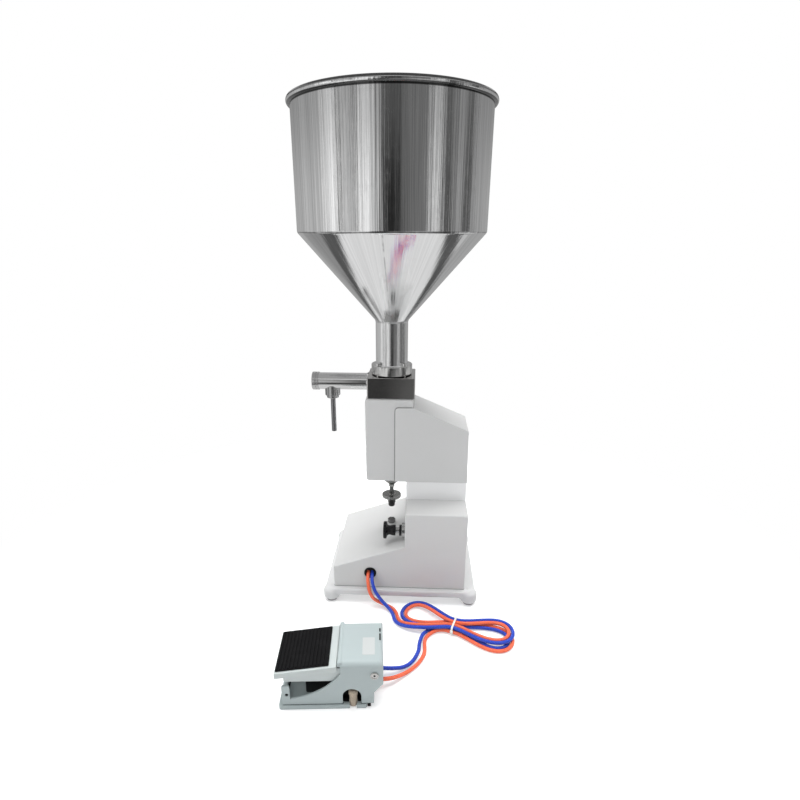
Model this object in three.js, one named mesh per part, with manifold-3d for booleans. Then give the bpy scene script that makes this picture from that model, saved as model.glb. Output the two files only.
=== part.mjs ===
// A pneumatic filling machine with its hopper, hoses and foot valve, in millimetres.
// X runs from the nozzle towards the rear, Y across the machine and Z up from the floor.
// Everything is placed from the hopper's axis, X = 0 and Y = 0. The last lines centre the machine.

import * as THREE from "three";
import { mergeVertices } from "three/addons/utils/BufferGeometryUtils.js";
import Module from "manifold-3d";

const wasm = await Module();
wasm.setup();

// Clearances, cutter overrun and smoothness

const gap = 0.3;
const overrun = 4;
const weld = 0.001;
const facets = { large: 56, medium: 28, small: 16, tiny: 10, arc: 4, edge: 1 };

// Driving dimensions of the base

const footPad = { radius: 13, height: 5 };
const foot = { radius: 19, edge: 6, inset: 14 };
const plinth = { lift: 18, thickness: 18, frontLip: 21, rearLip: 25, sideLip: 12, corner: 22, edge: 4 };
const base = {
  frontReach: 128,
  wallSetback: 36,
  rearReach: 175,
  halfWidth: 128,
  frontHeight: 52,
  slopeRise: 58,
  blockRise: 82,
  wall: 6,
  edge: 2.5,
};
const bottomPlate = { thickness: 2 };
const cableWay = { front: 70, rear: 150, halfWidth: 32 };

// The hose hole in the base's near side, and its grommet

const hoseHole = { radius: 12, offset: 43, height: 75 };
const grommet = { radius: 14, flange: 3, boreSpacing: 9.4, boreDrop: 4, boreTilt: 25 };

// The column, the front housing and the sheet cover behind it

const column = { height: 46, halfWidth: 51, wall: 6, corner: 3, spineThickness: 12, spineHeight: 150, spineInset: 8 };
const housing = { frontReach: 56, rearReach: 50, halfWidth: 52, height: 194, wall: 7, edge: 2.5 };
const cover = { overlap: 40, height: 176, rearDrop: 51, rearInset: 3, sheet: 2.5 };

// The valve block, the outlet and the nozzle

const block = { halfLength: 52, halfWidth: 47.5, height: 46, edge: 1.2, chamber: 24, seat: 7, port: 15 };
const outlet = { radius: 18.5, bore: 14, length: 111, rise: 27, throat: 10, capRadius: 20, capLength: 15, groove: 1.5 };
const nozzle = { setback: 29, nutRadius: 17, nutTop: 8, nutLength: 13.5, lipRadius: 13.5, lipLength: 6, bore: 8 };
const spout = { radius: 5.5, bore: 4, length: 84, collar: 7.6, collarHeight: 5, shoulder: 3 };

// The hopper

const collar = { radius: 45, height: 20, gasket: 2, gasketInset: 2, boltCircle: 40.3 };
const bolt = { shank: 3, headRadius: 4.6, headHeight: 6.5, reach: 14, socket: 2.4, socketDepth: 3 };
const neck = { radius: 35, length: 94, wall: 1.5 };
const hopper = { radius: 190, coneHeight: 174, wallHeight: 222, wall: 1.5, bead: 6, beadOffset: 1 };

// The two check valves

const inletValve = { disc: 18, discHeight: 5, flange: 23, flangeHeight: 2, flangeDrop: 4, ports: 6, portRadius: 3.2 };
const outletValve = { disc: 12, discLength: 5, stem: 3, stemLength: 60, guide: 6, guideLength: 43, guideFlange: 9.5 };
const inletSpring = { radius: 21.9, wire: 1.6, turns: 4 };
const outletSpring = { radius: 8, wire: 1.3, turns: 7 };

// The stroke: product piston, air piston, and the rod's stops under the housing

const stroke = { up: 16, down: 30, margin: 2 };
const rod = { radius: 5 };
const product = { bore: 20, wall: 6, pistonHeight: 20, grooveDepth: 2.4, sealHeight: 4 };
const air = { bore: 30, wall: 4, capHeight: 9, pistonHeight: 12 };
const bush = { radius: 19.5, rim: 4, coneHeight: 12, sleeve: 7, length: 37, spigot: 8, bite: 7 };
const adjust = { up: 1, down: 3 };
const disc = { drop: 20, radius: 23, thickness: 8, edge: 2, hub: 9, hubHeight: 2.5 };
const lockNut = { radius: 9.5, height: 15, dome: 8, domeHeight: 10 };
const stud = { radius: 9.5, height: 10, shank: 5, depth: 16, padRadius: 13, padRise: 5 };

// The speed regulator on the base's wall

const regulator = { inset: 40, rise: 20, collar: 17.5, collarLength: 8, neckRadius: 7, neckLength: 14, stem: 4 };
const regulatorFit = { spigot: 8, spigotLength: 6, ring: 13, ringLength: 5.4, tail: 14 };
const knob = { radius: 12.5, flange: 20, length: 28, waist: 10, flangeLength: 7, rearLength: 6, edge: 2 };

// The foot valve, in its own frame: x from the treadle's tip to the rear, y across, z up

const pedal = { x: -198, y: -399, turn: 4.5, halfWidth: 57, wall: 4, top: 101, rear: 202, hoodFront: 125, round: 7 };
const pedalPlate = { front: 12, rear: 172.5, halfWidth: 60, thickness: 9, corner: 5, edge: 1.5, notch: 9.5 };
const cheek = { front: 19, postRear: 33, postTop: 52, low: 22, lowRear: 185, rearTurn: 172, rearLow: 34, rearHigh: 54 };
const cheekCurve = { xShares: [0.12, 0.42, 0.72, 0.9, 1], zShares: [0.04, 0.2, 0.5, 0.8, 1], top: 76 };
const arch = { x: 145, radius: 17, height: 43 };
const treadle = { tip: 7, rear: 119, halfWidth: 56, tipHeight: 79.6, slope: 7.1, thickness: 12, wall: 3, skirt: 52 };
const treadleSide = { front: 23, low: 58, shell: 3, armRear: 108, armTop: 7, eye: 10 };
const pivot = { x: 186.3, z: 74, radius: 4, head: 6.2, headLength: 2.5 };
const rubber = { front: 9, length: 97, halfWidth: 51.5, thickness: 2.5, ribs: 12, ribHeight: 1.6, ribShare: 0.55 };
const valve = { front: 58, rear: 172, halfWidth: 30, top: 40, edge: 1.5, bore: 7 };
const plunger = { x: 76, radius: 5, travel: 11, slack: 0.6, footShare: 1.3 };
const returnSpring = { radius: 9.5, wire: 1.8, turns: 8 };
const port = { spacing: 28, shift: 6, height: 17, radius: 7.5, length: 14, collet: 6, colletLength: 4 };
const silencer = { x: 147, radius: 7.5, foot: 2, height: 34, inset: 7, spigot: 3.5 };
const frontScrew = { x: 27.5, z: 32, radius: 3.2 };

// The hoses, their hank and its tie

const hose = { radius: 4, pitch: 8.7, sides: 8, hankSides: 6, lead: 8 };
const hank = { x: 148, y: -222, turn: -17.5, lobeSteps: 24, floor: 4.2, lift: 1.6, layer: 8.7, slot: 9.2 };
const lobeShares = { waist: 0.26, fan: 0.9 };
const tie = { width: 4, thickness: 1.2, corner: 5, clear: 0.5, headLength: 6, headHeight: 4 };

// How the hose pair runs through the hank, lobe by lobe from the machine's end: the angles where
// a lobe starts and ends, its reach, half opening and fan, and the places across the waist, counted
// in slots, on its far and near side. It climbs between layers over two shares of its length.

const lobes = [
  { from: 206, to: 270, reach: 137, open: 63, fan: -11.5, far: 1, near: -1, layers: [0, 1], climbShares: [0.05, 0.62] },
  { from: -90, to: 90, reach: 121, open: 36, fan: 6, far: 1, near: -1, layers: [1, 1], climbShares: [0, 1] },
  { from: 90, to: 270, reach: 120, open: 42, fan: -4.5, far: 1, near: 1, layers: [1, 0], climbShares: [0.1, 0.5] },
  { from: 90, to: -90, reach: 123, open: 35, fan: -2, far: 1, near: -1.42, layers: [0, 0], climbShares: [0, 1] },
];

// The free stretches, as points chosen along each hose's real lie

const blueUpper = [
  [-38.3, -119, 76.6],
  [-38.3, -125, 73.8],
  [-38.3, -131, 71],
  [-38.3, -135, 69.1],
  [-37.2, -144.2, 62.3],
  [-30.5, -155, 44.6],
  [-20.9, -157.7, 29.5],
  [-12.6, -159.8, 19.1],
  [-1.3, -165.9, 10],
  [7.7, -175.6, 5.5],
];
const orangeUpper = [
  [-47.7, -119, 76.6],
  [-47.7, -125, 73.8],
  [-47.7, -131, 71],
  [-47.7, -135, 69.1],
  [-46.9, -144.7, 61.5],
  [-42.1, -155.3, 41.1],
  [-34, -156.1, 25],
  [-22.3, -154.2, 14.2],
  [-6.1, -155.4, 7],
  [6, -161, 4.6],
  [14.4, -169.6, 4.2],
];
const blueLower = [
  [110.2, -226, 5.1],
  [82.8, -243.4, 4.2],
  [73.4, -272.2, 4.2],
  [70.4, -299.9, 4.2],
  [57.3, -330.6, 4.3],
  [41.3, -347.3, 6.6],
  [20.7, -359.3, 13.8],
  [2.4, -363.2, 17],
];
const orangeLower = [
  [109.2, -235.4, 5.5],
  [86, -259.4, 4.4],
  [82.5, -305.9, 4.2],
  [69.8, -333.8, 4.2],
  [50.7, -357, 5],
  [35.9, -371.3, 8.4],
  [19.2, -385.9, 14.9],
  [4.6, -391.1, 17],
];

// Levels and places that follow from the sizes above

const radians = THREE.MathUtils.degToRad;
const upright = new THREE.Vector3(0, 0, 1);
const plinthTop = plinth.lift + plinth.thickness;
const slopeFoot = plinthTop + base.frontHeight;
const slopeHead = slopeFoot + base.slopeRise;
const blockTop = slopeHead + base.blockRise;
const slopeRun = base.frontReach + base.wallSetback;
const slopeGrade = base.slopeRise / slopeRun;
const housingFloor = blockTop + column.height;
const housingTop = housingFloor + housing.height;
const valveTop = housingTop + block.height;
const outletAxis = housingTop + outlet.rise;
const outletEnd = block.halfLength + outlet.length;
const nozzleX = -(outletEnd - nozzle.setback);
const collarFloor = valveTop + collar.gasket;
const collarTop = collarFloor + collar.height;
const neckTop = collarTop + neck.length;
const coneTop = neckTop + hopper.coneHeight;
const wallTop = coneTop + hopper.wallHeight;
const bushEnd = housingFloor - bush.length;
const discTop = bushEnd - disc.drop;
const nutTop = discTop - disc.thickness - gap;
const rodEnd = nutTop - lockNut.height;
const airFloor = housingFloor + housing.wall;
const barrelFloor = airFloor + air.capHeight;
const barrelLength = stroke.down + stroke.up + 2 * stroke.margin + air.pistonHeight;
const barrelTop = barrelFloor + barrelLength;
const airTop = barrelTop + air.capHeight;
const airPistonFloor = barrelFloor + stroke.down + stroke.margin;
const pistonTop = housingTop - stroke.up - stroke.margin;
const pistonFloor = pistonTop - product.pistonHeight;
const seatLevel = valveTop - block.seat;
const regulatorY = regulator.inset - base.halfWidth;
const regulatorZ = slopeHead + regulator.rise;
const treadleGrade = Math.tan(radians(treadle.slope));

function slopeAt(x) {
  return slopeFoot + slopeGrade * (x + base.frontReach);
}

function treadleTopAt(x) {
  return treadle.tipHeight + treadleGrade * (x - treadle.tip);
}

// Solids from three.js shapes

function solid(geometry) {
  const bare = new THREE.BufferGeometry();
  bare.setAttribute("position", geometry.getAttribute("position"));
  bare.setIndex(geometry.index);
  const merged = mergeVertices(bare, weld);
  return new wasm.Manifold(
    new wasm.Mesh({
      numProp: 3,
      vertProperties: new Float32Array(merged.getAttribute("position").array),
      triVerts: new Uint32Array(merged.index.array),
    }),
  );
}

function surface(made) {
  const mesh = made.getMesh();
  const geometry = new THREE.BufferGeometry();
  geometry.setAttribute("position", new THREE.BufferAttribute(mesh.vertProperties, 3));
  geometry.setIndex(new THREE.BufferAttribute(mesh.triVerts, 1));
  geometry.computeVertexNormals();
  return geometry;
}

function join(first, ...others) {
  return others.reduce((whole, next) => whole.add(next), first);
}

function cut(body, ...tools) {
  return tools.reduce((rest, tool) => rest.subtract(tool), body);
}

function polygon(points) {
  return new THREE.Shape(points.map(([x, y]) => new THREE.Vector2(x, y)));
}

function roundedRectangle(x0, x1, y0, y1, corner) {
  const shape = new THREE.Shape();
  shape.moveTo(x0 + corner, y0);
  shape.lineTo(x1 - corner, y0);
  shape.absarc(x1 - corner, y0 + corner, corner, -Math.PI / 2, 0);
  shape.lineTo(x1, y1 - corner);
  shape.absarc(x1 - corner, y1 - corner, corner, 0, Math.PI / 2);
  shape.lineTo(x0 + corner, y1);
  shape.absarc(x0 + corner, y1 - corner, corner, Math.PI / 2, Math.PI);
  shape.lineTo(x0, y0 + corner);
  shape.absarc(x0 + corner, y0 + corner, corner, Math.PI, 1.5 * Math.PI);
  return shape;
}

function rectangle(x0, x1, y0, y1) {
  return polygon([
    [x0, y0],
    [x1, y0],
    [x1, y1],
    [x0, y1],
  ]);
}

function extruded(shape, length, edge) {
  const made = new THREE.ExtrudeGeometry(shape, {
    depth: length - 2 * edge,
    curveSegments: facets.arc,
    bevelEnabled: edge > 0,
    bevelThickness: edge,
    bevelSize: edge,
    bevelOffset: -edge,
    bevelSegments: facets.edge,
  });
  return made.translate(0, 0, edge);
}

function alongZ(shape, from, to, edge = 0) {
  return solid(extruded(shape, to - from, edge).translate(0, 0, from));
}

function alongY(shape, from, to, edge = 0) {
  return solid(extruded(shape, to - from, edge).rotateX(Math.PI / 2).translate(0, to, 0));
}

function alongX(shape, from, to, edge = 0) {
  const turn = new THREE.Matrix4().makeBasis(
    new THREE.Vector3(0, 1, 0),
    new THREE.Vector3(0, 0, 1),
    new THREE.Vector3(1, 0, 0),
  );
  return solid(extruded(shape, to - from, edge).applyMatrix4(turn).translate(from, 0, 0));
}

function boxOf(x0, x1, y0, y1, z0, z1) {
  return alongZ(rectangle(x0, x1, y0, y1), z0, z1);
}

// A turned body about Z, from its outline of radius and height, which ends where it starts
function turned(profile, segments) {
  const points = [...profile, profile[0]].map(([radius, height]) => new THREE.Vector2(radius, height));
  return solid(new THREE.LatheGeometry(points, segments).rotateX(Math.PI / 2));
}

function rodAlongZ(radius, from, to, segments) {
  return turned([[0, from], [radius, from], [radius, to], [0, to]], segments);
}

function ringAlongZ(bore, radius, from, to, segments) {
  return turned([[bore, from], [radius, from], [radius, to], [bore, to]], segments);
}

// Lays a body turned about Z along X, so that its heights run towards +X
function layAlongX(made) {
  return made.rotate([0, 90, 0]);
}

function layAlongY(made) {
  return made.rotate([-90, 0, 0]);
}

function hexagon(radius, from, to) {
  return rodAlongZ(radius, from, to, 6);
}

function tube(points, radius, sides, steps) {
  const section = new THREE.Shape(
    Array.from({ length: sides }, (_, i) => {
      const angle = (2 * Math.PI * i) / sides;
      return new THREE.Vector2(radius * Math.cos(angle), radius * Math.sin(angle));
    }),
  );
  const path = new THREE.CatmullRomCurve3(points);
  const made = new THREE.ExtrudeGeometry(section, { steps: Math.round(steps), extrudePath: path, bevelEnabled: false });
  return solid(made);
}

// A compression spring about Z that ends square to its axis
function coilSpring(radius, wire, turns, from, to) {
  const stepsPerTurn = 8;
  const low = from + wire;
  const rise = to - from - 2 * wire;
  const count = Math.round(turns * stepsPerTurn);
  const points = Array.from({ length: count + 1 }, (_, i) => {
    const angle = (2 * Math.PI * i) / stepsPerTurn;
    return new THREE.Vector3(radius * Math.cos(angle), radius * Math.sin(angle), low + (rise * i) / count);
  });
  return tube(points, wire, 5, count);
}

// Materials and named pieces

const finishes = {
  whitePaint: { color: 0xe9eaea, roughness: 0.35, metalness: 0 },
  polished: { color: 0xc9ccd0, roughness: 0.12, metalness: 1 },
  steel: { color: 0xa4a8ac, roughness: 0.3, metalness: 1 },
  blackPlastic: { color: 0x141416, roughness: 0.4, metalness: 0 },
  rubberBlack: { color: 0x1a1a1c, roughness: 0.8, metalness: 0 },
  seal: { color: 0x9a3b2a, roughness: 0.7, metalness: 0 },
  zinc: { color: 0xb9bdc2, roughness: 0.4, metalness: 1 },
  castGreen: { color: 0xc3cfce, roughness: 0.45, metalness: 0.1 },
  bronze: { color: 0xb9a58c, roughness: 0.7, metalness: 0.4 },
  blueHose: { color: 0x2a4cae, roughness: 0.3, metalness: 0 },
  orangeHose: { color: 0xf2603c, roughness: 0.3, metalness: 0 },
  tieWhite: { color: 0xf1efe9, roughness: 0.5, metalness: 0 },
};

function piece(name, made, finish) {
  const mesh = new THREE.Mesh(surface(made), new THREE.MeshStandardMaterial(finishes[finish]));
  mesh.name = name;
  return mesh;
}

const machine = new THREE.Group();
const footValve = new THREE.Group();
const cords = new THREE.Group();

// Base

function baseOutline(inset, floor) {
  const skew = inset * Math.sqrt(1 + slopeGrade * slopeGrade);
  const front = -base.frontReach + inset;
  const wall = base.wallSetback + inset;
  const rear = base.rearReach - inset;
  return polygon([
    [front, floor],
    [rear, floor],
    [rear, blockTop - inset],
    [wall, blockTop - inset],
    [wall, slopeAt(wall) - skew],
    [front, slopeAt(front) - skew],
  ]);
}

function footPlaces() {
  const front = -base.frontReach - plinth.frontLip + foot.inset;
  const rear = base.rearReach + plinth.rearLip - foot.inset;
  const side = base.halfWidth + plinth.sideLip - foot.inset;
  return [
    ["front_near", front, -side],
    ["front_far", front, side],
    ["rear_near", rear, -side],
    ["rear_far", rear, side],
  ];
}

function castFoot(x, y) {
  const low = footPad.height;
  const top = plinthTop - plinth.edge;
  const profile = [[0, low]];
  for (let i = 0; i <= facets.arc; i += 1) {
    const angle = -Math.PI / 2 + (Math.PI / 2) * (i / facets.arc);
    profile.push([foot.radius - foot.edge + foot.edge * Math.cos(angle), low + foot.edge + foot.edge * Math.sin(angle)]);
  }
  profile.push([foot.radius, top - foot.edge], [foot.radius - foot.edge, top], [0, top]);
  return turned(profile, facets.small).translate([x, y, 0]);
}

function regulatorHole(radius) {
  return layAlongX(rodAlongZ(radius, base.wallSetback - overrun, base.wallSetback + base.wall + overrun, facets.small))
    .translate([0, regulatorY, regulatorZ]);
}

function baseCasting() {
  const body = alongY(baseOutline(0, plinth.lift), -base.halfWidth, base.halfWidth, base.edge);
  const lip = alongZ(
    roundedRectangle(
      -base.frontReach - plinth.frontLip,
      base.rearReach + plinth.rearLip,
      -base.halfWidth - plinth.sideLip,
      base.halfWidth + plinth.sideLip,
      plinth.corner,
    ),
    plinth.lift,
    plinthTop,
    plinth.edge,
  );
  const feet = footPlaces().map(([, x, y]) => castFoot(x, y));
  const studPad = rodAlongZ(stud.padRadius, plinthTop, slopeAt(0) + stud.padRise, facets.small);
  const cavity = alongY(
    baseOutline(base.wall, plinth.lift - overrun),
    -base.halfWidth + base.wall,
    base.halfWidth - base.wall,
  );
  const studHole = rodAlongZ(stud.shank + gap, plinthTop, slopeAt(0) + overrun + stud.padRise, facets.small);
  const hoseOpening = layAlongY(
    rodAlongZ(hoseHole.radius, -base.halfWidth - overrun, -base.halfWidth + base.wall + overrun, facets.small),
  ).translate([-hoseHole.offset, 0, hoseHole.height]);
  const cables = boxOf(
    cableWay.front,
    cableWay.rear,
    -cableWay.halfWidth,
    cableWay.halfWidth,
    blockTop - base.wall - overrun,
    blockTop + overrun,
  );
  const shell = cut(join(body, lip, ...feet), cavity);
  const insidePad = cut(studPad, rodAlongZ(stud.padRadius + overrun, 0, slopeAt(-stud.padRadius) - base.wall, facets.small));
  return cut(join(shell, insidePad), studHole, hoseOpening, cables, regulatorHole(regulatorFit.spigot + gap));
}

function bottomCover() {
  const inset = base.wall + gap;
  return boxOf(
    -base.frontReach + inset,
    base.rearReach - inset,
    -base.halfWidth + inset,
    base.halfWidth - inset,
    plinth.lift,
    plinth.lift + bottomPlate.thickness,
  );
}

function rubberFoot() {
  return turned(
    [
      [0, 0],
      [footPad.radius - footPad.height / 4, 0],
      [footPad.radius, footPad.height / 4],
      [footPad.radius, footPad.height],
      [0, footPad.height],
    ],
    facets.small,
  );
}

function hoseGrommet() {
  const outside = -base.halfWidth - grommet.flange;
  const wallIn = -base.halfWidth + base.wall;
  const inside = wallIn + grommet.flange;
  const body = turned(
    [
      [0, outside],
      [grommet.radius - grommet.flange / 2, outside],
      [grommet.radius, outside + grommet.flange / 2],
      [grommet.radius, -base.halfWidth],
      [hoseHole.radius - gap, -base.halfWidth],
      [hoseHole.radius - gap, wallIn],
      [grommet.radius, wallIn],
      [grommet.radius, inside],
      [0, inside],
    ],
    facets.small,
  );
  const laid = layAlongY(body).translate([-hoseHole.offset, 0, hoseHole.height]);
  const reach = grommet.radius * 2;
  const bores = [-1, 1].map((side) =>
    layAlongY(rodAlongZ(hose.radius + gap, -reach, reach, facets.tiny))
      .rotate([grommet.boreTilt, 0, 0])
      .translate([
        -hoseHole.offset + (side * grommet.boreSpacing) / 2,
        outside,
        hoseHole.height - grommet.boreDrop,
      ]),
  );
  return cut(laid, ...bores);
}

// Column, housing and cover

function columnFrame() {
  const outer = alongZ(
    roundedRectangle(base.wallSetback, base.rearReach, -column.halfWidth, column.halfWidth, column.corner),
    blockTop,
    housingFloor,
  );
  const inner = boxOf(
    base.wallSetback + column.wall,
    base.rearReach - column.wall,
    -column.halfWidth + column.wall,
    column.halfWidth - column.wall,
    blockTop - overrun,
    housingFloor + overrun,
  );
  const spineFront = housing.rearReach;
  const spineHalf = column.halfWidth - column.spineInset;
  const spine = boxOf(
    spineFront,
    spineFront + column.spineThickness,
    -spineHalf,
    spineHalf,
    blockTop,
    housingFloor + column.spineHeight,
  );
  const bridge = boxOf(
    base.wallSetback,
    spineFront + column.spineThickness,
    -spineHalf,
    spineHalf,
    housingFloor - column.wall,
    housingFloor,
  );
  return join(cut(outer, inner), spine, bridge);
}

function frontHousing() {
  const outer = alongY(
    roundedRectangle(-housing.frontReach, housing.rearReach, housingFloor, housingTop, housing.edge * 2),
    -housing.halfWidth,
    housing.halfWidth,
    housing.edge,
  );
  const inner = boxOf(
    -housing.frontReach + housing.wall,
    housing.rearReach - housing.wall,
    -housing.halfWidth + housing.wall,
    housing.halfWidth - housing.wall,
    airFloor,
    housingTop + overrun,
  );
  const rodHole = rodAlongZ(bush.spigot + gap, housingFloor - overrun, airFloor + overrun, facets.small);
  return cut(outer, inner, rodHole);
}

function rearCover() {
  const front = housing.rearReach - cover.overlap;
  const roof = housing.rearReach + cover.sheet;
  const top = housingFloor + cover.height;
  const rear = base.rearReach - cover.rearInset;
  const rearTop = top - cover.rearDrop;
  const outer = alongY(
    polygon([
      [front, housingFloor],
      [base.rearReach, housingFloor],
      [rear, rearTop],
      [roof, top],
      [front, top],
    ]),
    -housing.halfWidth - gap - cover.sheet,
    housing.halfWidth + gap + cover.sheet,
    cover.sheet / 4,
  );
  const inner = alongY(
    polygon([
      [front - overrun, housingFloor - overrun],
      [base.rearReach - cover.sheet, housingFloor - overrun],
      [base.rearReach - cover.sheet, housingFloor],
      [rear - cover.sheet, rearTop - cover.sheet / 2],
      [housing.rearReach + gap, top - cover.sheet],
      [housing.rearReach + gap, top + overrun],
      [front - overrun, top + overrun],
    ]),
    -housing.halfWidth - gap,
    housing.halfWidth + gap,
  );
  return cut(outer, inner);
}

// Valve block and outlet

function valveBlock() {
  const body = alongZ(
    roundedRectangle(-block.halfLength, block.halfLength, -block.halfWidth, block.halfWidth, 2 * block.edge),
    housingTop,
    valveTop,
    block.edge,
  );
  const chamber = rodAlongZ(block.chamber, housingTop - overrun, seatLevel, facets.medium);
  const inlet = rodAlongZ(block.port, housingTop, valveTop + overrun, facets.medium);
  const throat = layAlongX(rodAlongZ(outlet.throat, -block.halfLength - overrun, 0, facets.small)).translate([
    0,
    0,
    outletAxis,
  ]);
  return cut(body, chamber, inlet, throat, ...boltPlaces().map(([x, y]) => boltHole(x, y)));
}

function outletTube() {
  const made = layAlongX(ringAlongZ(outlet.bore, outlet.radius, -outletEnd, -block.halfLength, facets.medium));
  const branch = rodAlongZ(nozzle.bore, -outlet.radius - overrun, 0, facets.small).translate([nozzleX, 0, 0]);
  return cut(made, branch).translate([0, 0, outletAxis]);
}

function outletCap() {
  const outer = outletEnd + outlet.capLength;
  const guideEnd = outletEnd - outletValve.guideLength;
  const lip = outlet.capLength / 3;
  const plug = outlet.bore - gap;
  const bore = outletValve.stem + gap;
  const body = turned(
    [
      [0, -outer],
      [outlet.capRadius - outlet.groove, -outer],
      [outlet.capRadius, -outer + outlet.groove],
      [outlet.capRadius, -outletEnd - lip - outlet.groove],
      [outlet.capRadius - outlet.groove, -outletEnd - lip - outlet.groove],
      [outlet.capRadius - outlet.groove, -outletEnd - lip],
      [outlet.capRadius, -outletEnd - lip],
      [outlet.capRadius, -outletEnd],
      [plug, -outletEnd],
      [plug, -outletEnd + lip],
      [outletValve.guide, -outletEnd + lip],
      [outletValve.guide, -guideEnd - outlet.groove],
      [outletValve.guideFlange, -guideEnd - outlet.groove],
      [outletValve.guideFlange, -guideEnd],
      [bore, -guideEnd],
      [bore, -outletEnd + lip],
      [0, -outletEnd + lip],
    ],
    facets.medium,
  );
  return layAlongX(body).translate([0, 0, outletAxis]);
}

function outletPoppet() {
  const face = -block.halfLength - gap;
  const back = face - outletValve.discLength;
  const body = turned(
    [
      [0, back - outletValve.stemLength],
      [outletValve.stem, back - outletValve.stemLength],
      [outletValve.stem, back],
      [outletValve.disc, back],
      [outletValve.disc, face],
      [0, face],
    ],
    facets.small,
  );
  return layAlongX(body).translate([0, 0, outletAxis]);
}

function outletReturn() {
  const back = -block.halfLength - gap - outletValve.discLength - gap;
  const seat = -(outletEnd - outletValve.guideLength) + gap;
  const made = coilSpring(outletSpring.radius, outletSpring.wire, outletSpring.turns, seat, back);
  return layAlongX(made).translate([0, 0, outletAxis]);
}

function unionNut() {
  const top = outletAxis - nozzle.nutTop;
  const low = outletAxis - outlet.radius - nozzle.nutLength;
  const lipLow = low - nozzle.lipLength;
  const body = turned(
    [
      [spout.radius + gap, lipLow],
      [nozzle.lipRadius, lipLow],
      [nozzle.lipRadius, low],
      [nozzle.nutRadius, low],
      [nozzle.nutRadius, top],
      [nozzle.bore, top],
      [nozzle.bore, lipLow + spout.shoulder],
      [spout.radius + gap, lipLow + spout.shoulder],
    ],
    facets.small,
  );
  const saddle = layAlongX(rodAlongZ(outlet.radius + gap, -outletEnd, 0, facets.medium)).translate([0, 0, outletAxis]);
  return cut(body.translate([nozzleX, 0, 0]), saddle);
}

function spoutTube() {
  const shelf = outletAxis - outlet.radius - nozzle.nutLength - nozzle.lipLength + spout.shoulder;
  const seat = shelf + gap;
  return turned(
    [
      [spout.bore, seat - spout.length],
      [spout.radius, seat - spout.length],
      [spout.radius, seat],
      [spout.collar, seat],
      [spout.collar, seat + spout.collarHeight],
      [spout.bore, seat + spout.collarHeight],
    ],
    facets.small,
  ).translate([nozzleX, 0, 0]);
}

// Hopper

function boltPlaces() {
  return [1, 3, 5, 7].map((eighth) => {
    const angle = (eighth * Math.PI) / 4;
    return [collar.boltCircle * Math.cos(angle), collar.boltCircle * Math.sin(angle)];
  });
}

function boltHole(x, y) {
  return rodAlongZ(bolt.shank + gap, valveTop - bolt.reach - overrun, collarTop + overrun, facets.tiny).translate([
    x,
    y,
    0,
  ]);
}

function flangeGasket() {
  const ring = ringAlongZ(block.port, collar.radius - collar.gasketInset, valveTop, collarFloor, facets.medium);
  return cut(ring, ...boltPlaces().map(([x, y]) => boltHole(x, y)));
}

function hopperCollar() {
  const bore = neck.radius - neck.wall;
  const ring = turned(
    [
      [block.port, collarFloor],
      [collar.radius - block.edge, collarFloor],
      [collar.radius, collarFloor + block.edge],
      [collar.radius, collarTop - block.edge],
      [collar.radius - block.edge, collarTop],
      [bore, collarTop],
      [block.port, collarFloor + collar.height / 4],
    ],
    facets.medium,
  );
  return cut(ring, ...boltPlaces().map(([x, y]) => boltHole(x, y)));
}

function flangeBolt() {
  const low = valveTop - bolt.reach;
  const body = turned(
    [
      [0, low],
      [bolt.shank, low],
      [bolt.shank, collarTop],
      [bolt.headRadius, collarTop],
      [bolt.headRadius, collarTop + bolt.headHeight - bolt.shank / 5],
      [bolt.headRadius - bolt.shank / 5, collarTop + bolt.headHeight],
      [0, collarTop + bolt.headHeight],
    ],
    facets.tiny,
  );
  const head = collarTop + bolt.headHeight;
  return cut(body, hexagon(bolt.socket, head - bolt.socketDepth, head + overrun));
}

function hopperNeck() {
  return ringAlongZ(neck.radius - neck.wall, neck.radius, collarTop, neckTop, facets.large);
}

function hopperBowl() {
  const profile = [
    [neck.radius - neck.wall, neckTop],
    [neck.radius, neckTop],
    [hopper.radius, coneTop],
  ];
  const beadX = hopper.radius + hopper.beadOffset;
  const start = -Math.PI / 2 - Math.asin(hopper.beadOffset / hopper.bead);
  const end = Math.PI / 2 + Math.asin((hopper.beadOffset + hopper.wall) / hopper.bead);
  const steps = facets.arc + 2;
  for (let i = 0; i <= steps; i += 1) {
    const angle = start + ((end - start) * i) / steps;
    profile.push([beadX + hopper.bead * Math.cos(angle), wallTop + hopper.bead * Math.sin(angle)]);
  }
  profile.push([hopper.radius - hopper.wall, coneTop]);
  return turned(profile, facets.large);
}

function inletPoppet() {
  const top = seatLevel - gap;
  const low = top - inletValve.discHeight;
  const flangeTop = low - inletValve.flangeDrop;
  const flangeLow = flangeTop - inletValve.flangeHeight;
  const hub = inletValve.disc / 3;
  const body = turned(
    [
      [0, flangeLow],
      [inletValve.flange, flangeLow],
      [inletValve.flange, flangeTop],
      [hub, flangeTop],
      [hub, low],
      [inletValve.disc, low],
      [inletValve.disc, top],
      [0, top],
    ],
    facets.small,
  );
  const ports = Array.from({ length: inletValve.ports }, (_, i) => {
    const angle = (2 * Math.PI * i) / inletValve.ports;
    const middle = (hub + inletValve.flange) / 2;
    return rodAlongZ(inletValve.portRadius, flangeLow - overrun, flangeTop + overrun / 2, facets.arc * 2).translate([
      middle * Math.cos(angle),
      middle * Math.sin(angle),
      0,
    ]);
  });
  return cut(body, ...ports);
}

function inletReturn() {
  const flangeLow = seatLevel - gap - inletValve.discHeight - inletValve.flangeDrop - inletValve.flangeHeight;
  return coilSpring(inletSpring.radius, inletSpring.wire, inletSpring.turns, housingTop + gap, flangeLow - gap);
}

// Cylinders, pistons and rod

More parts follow.
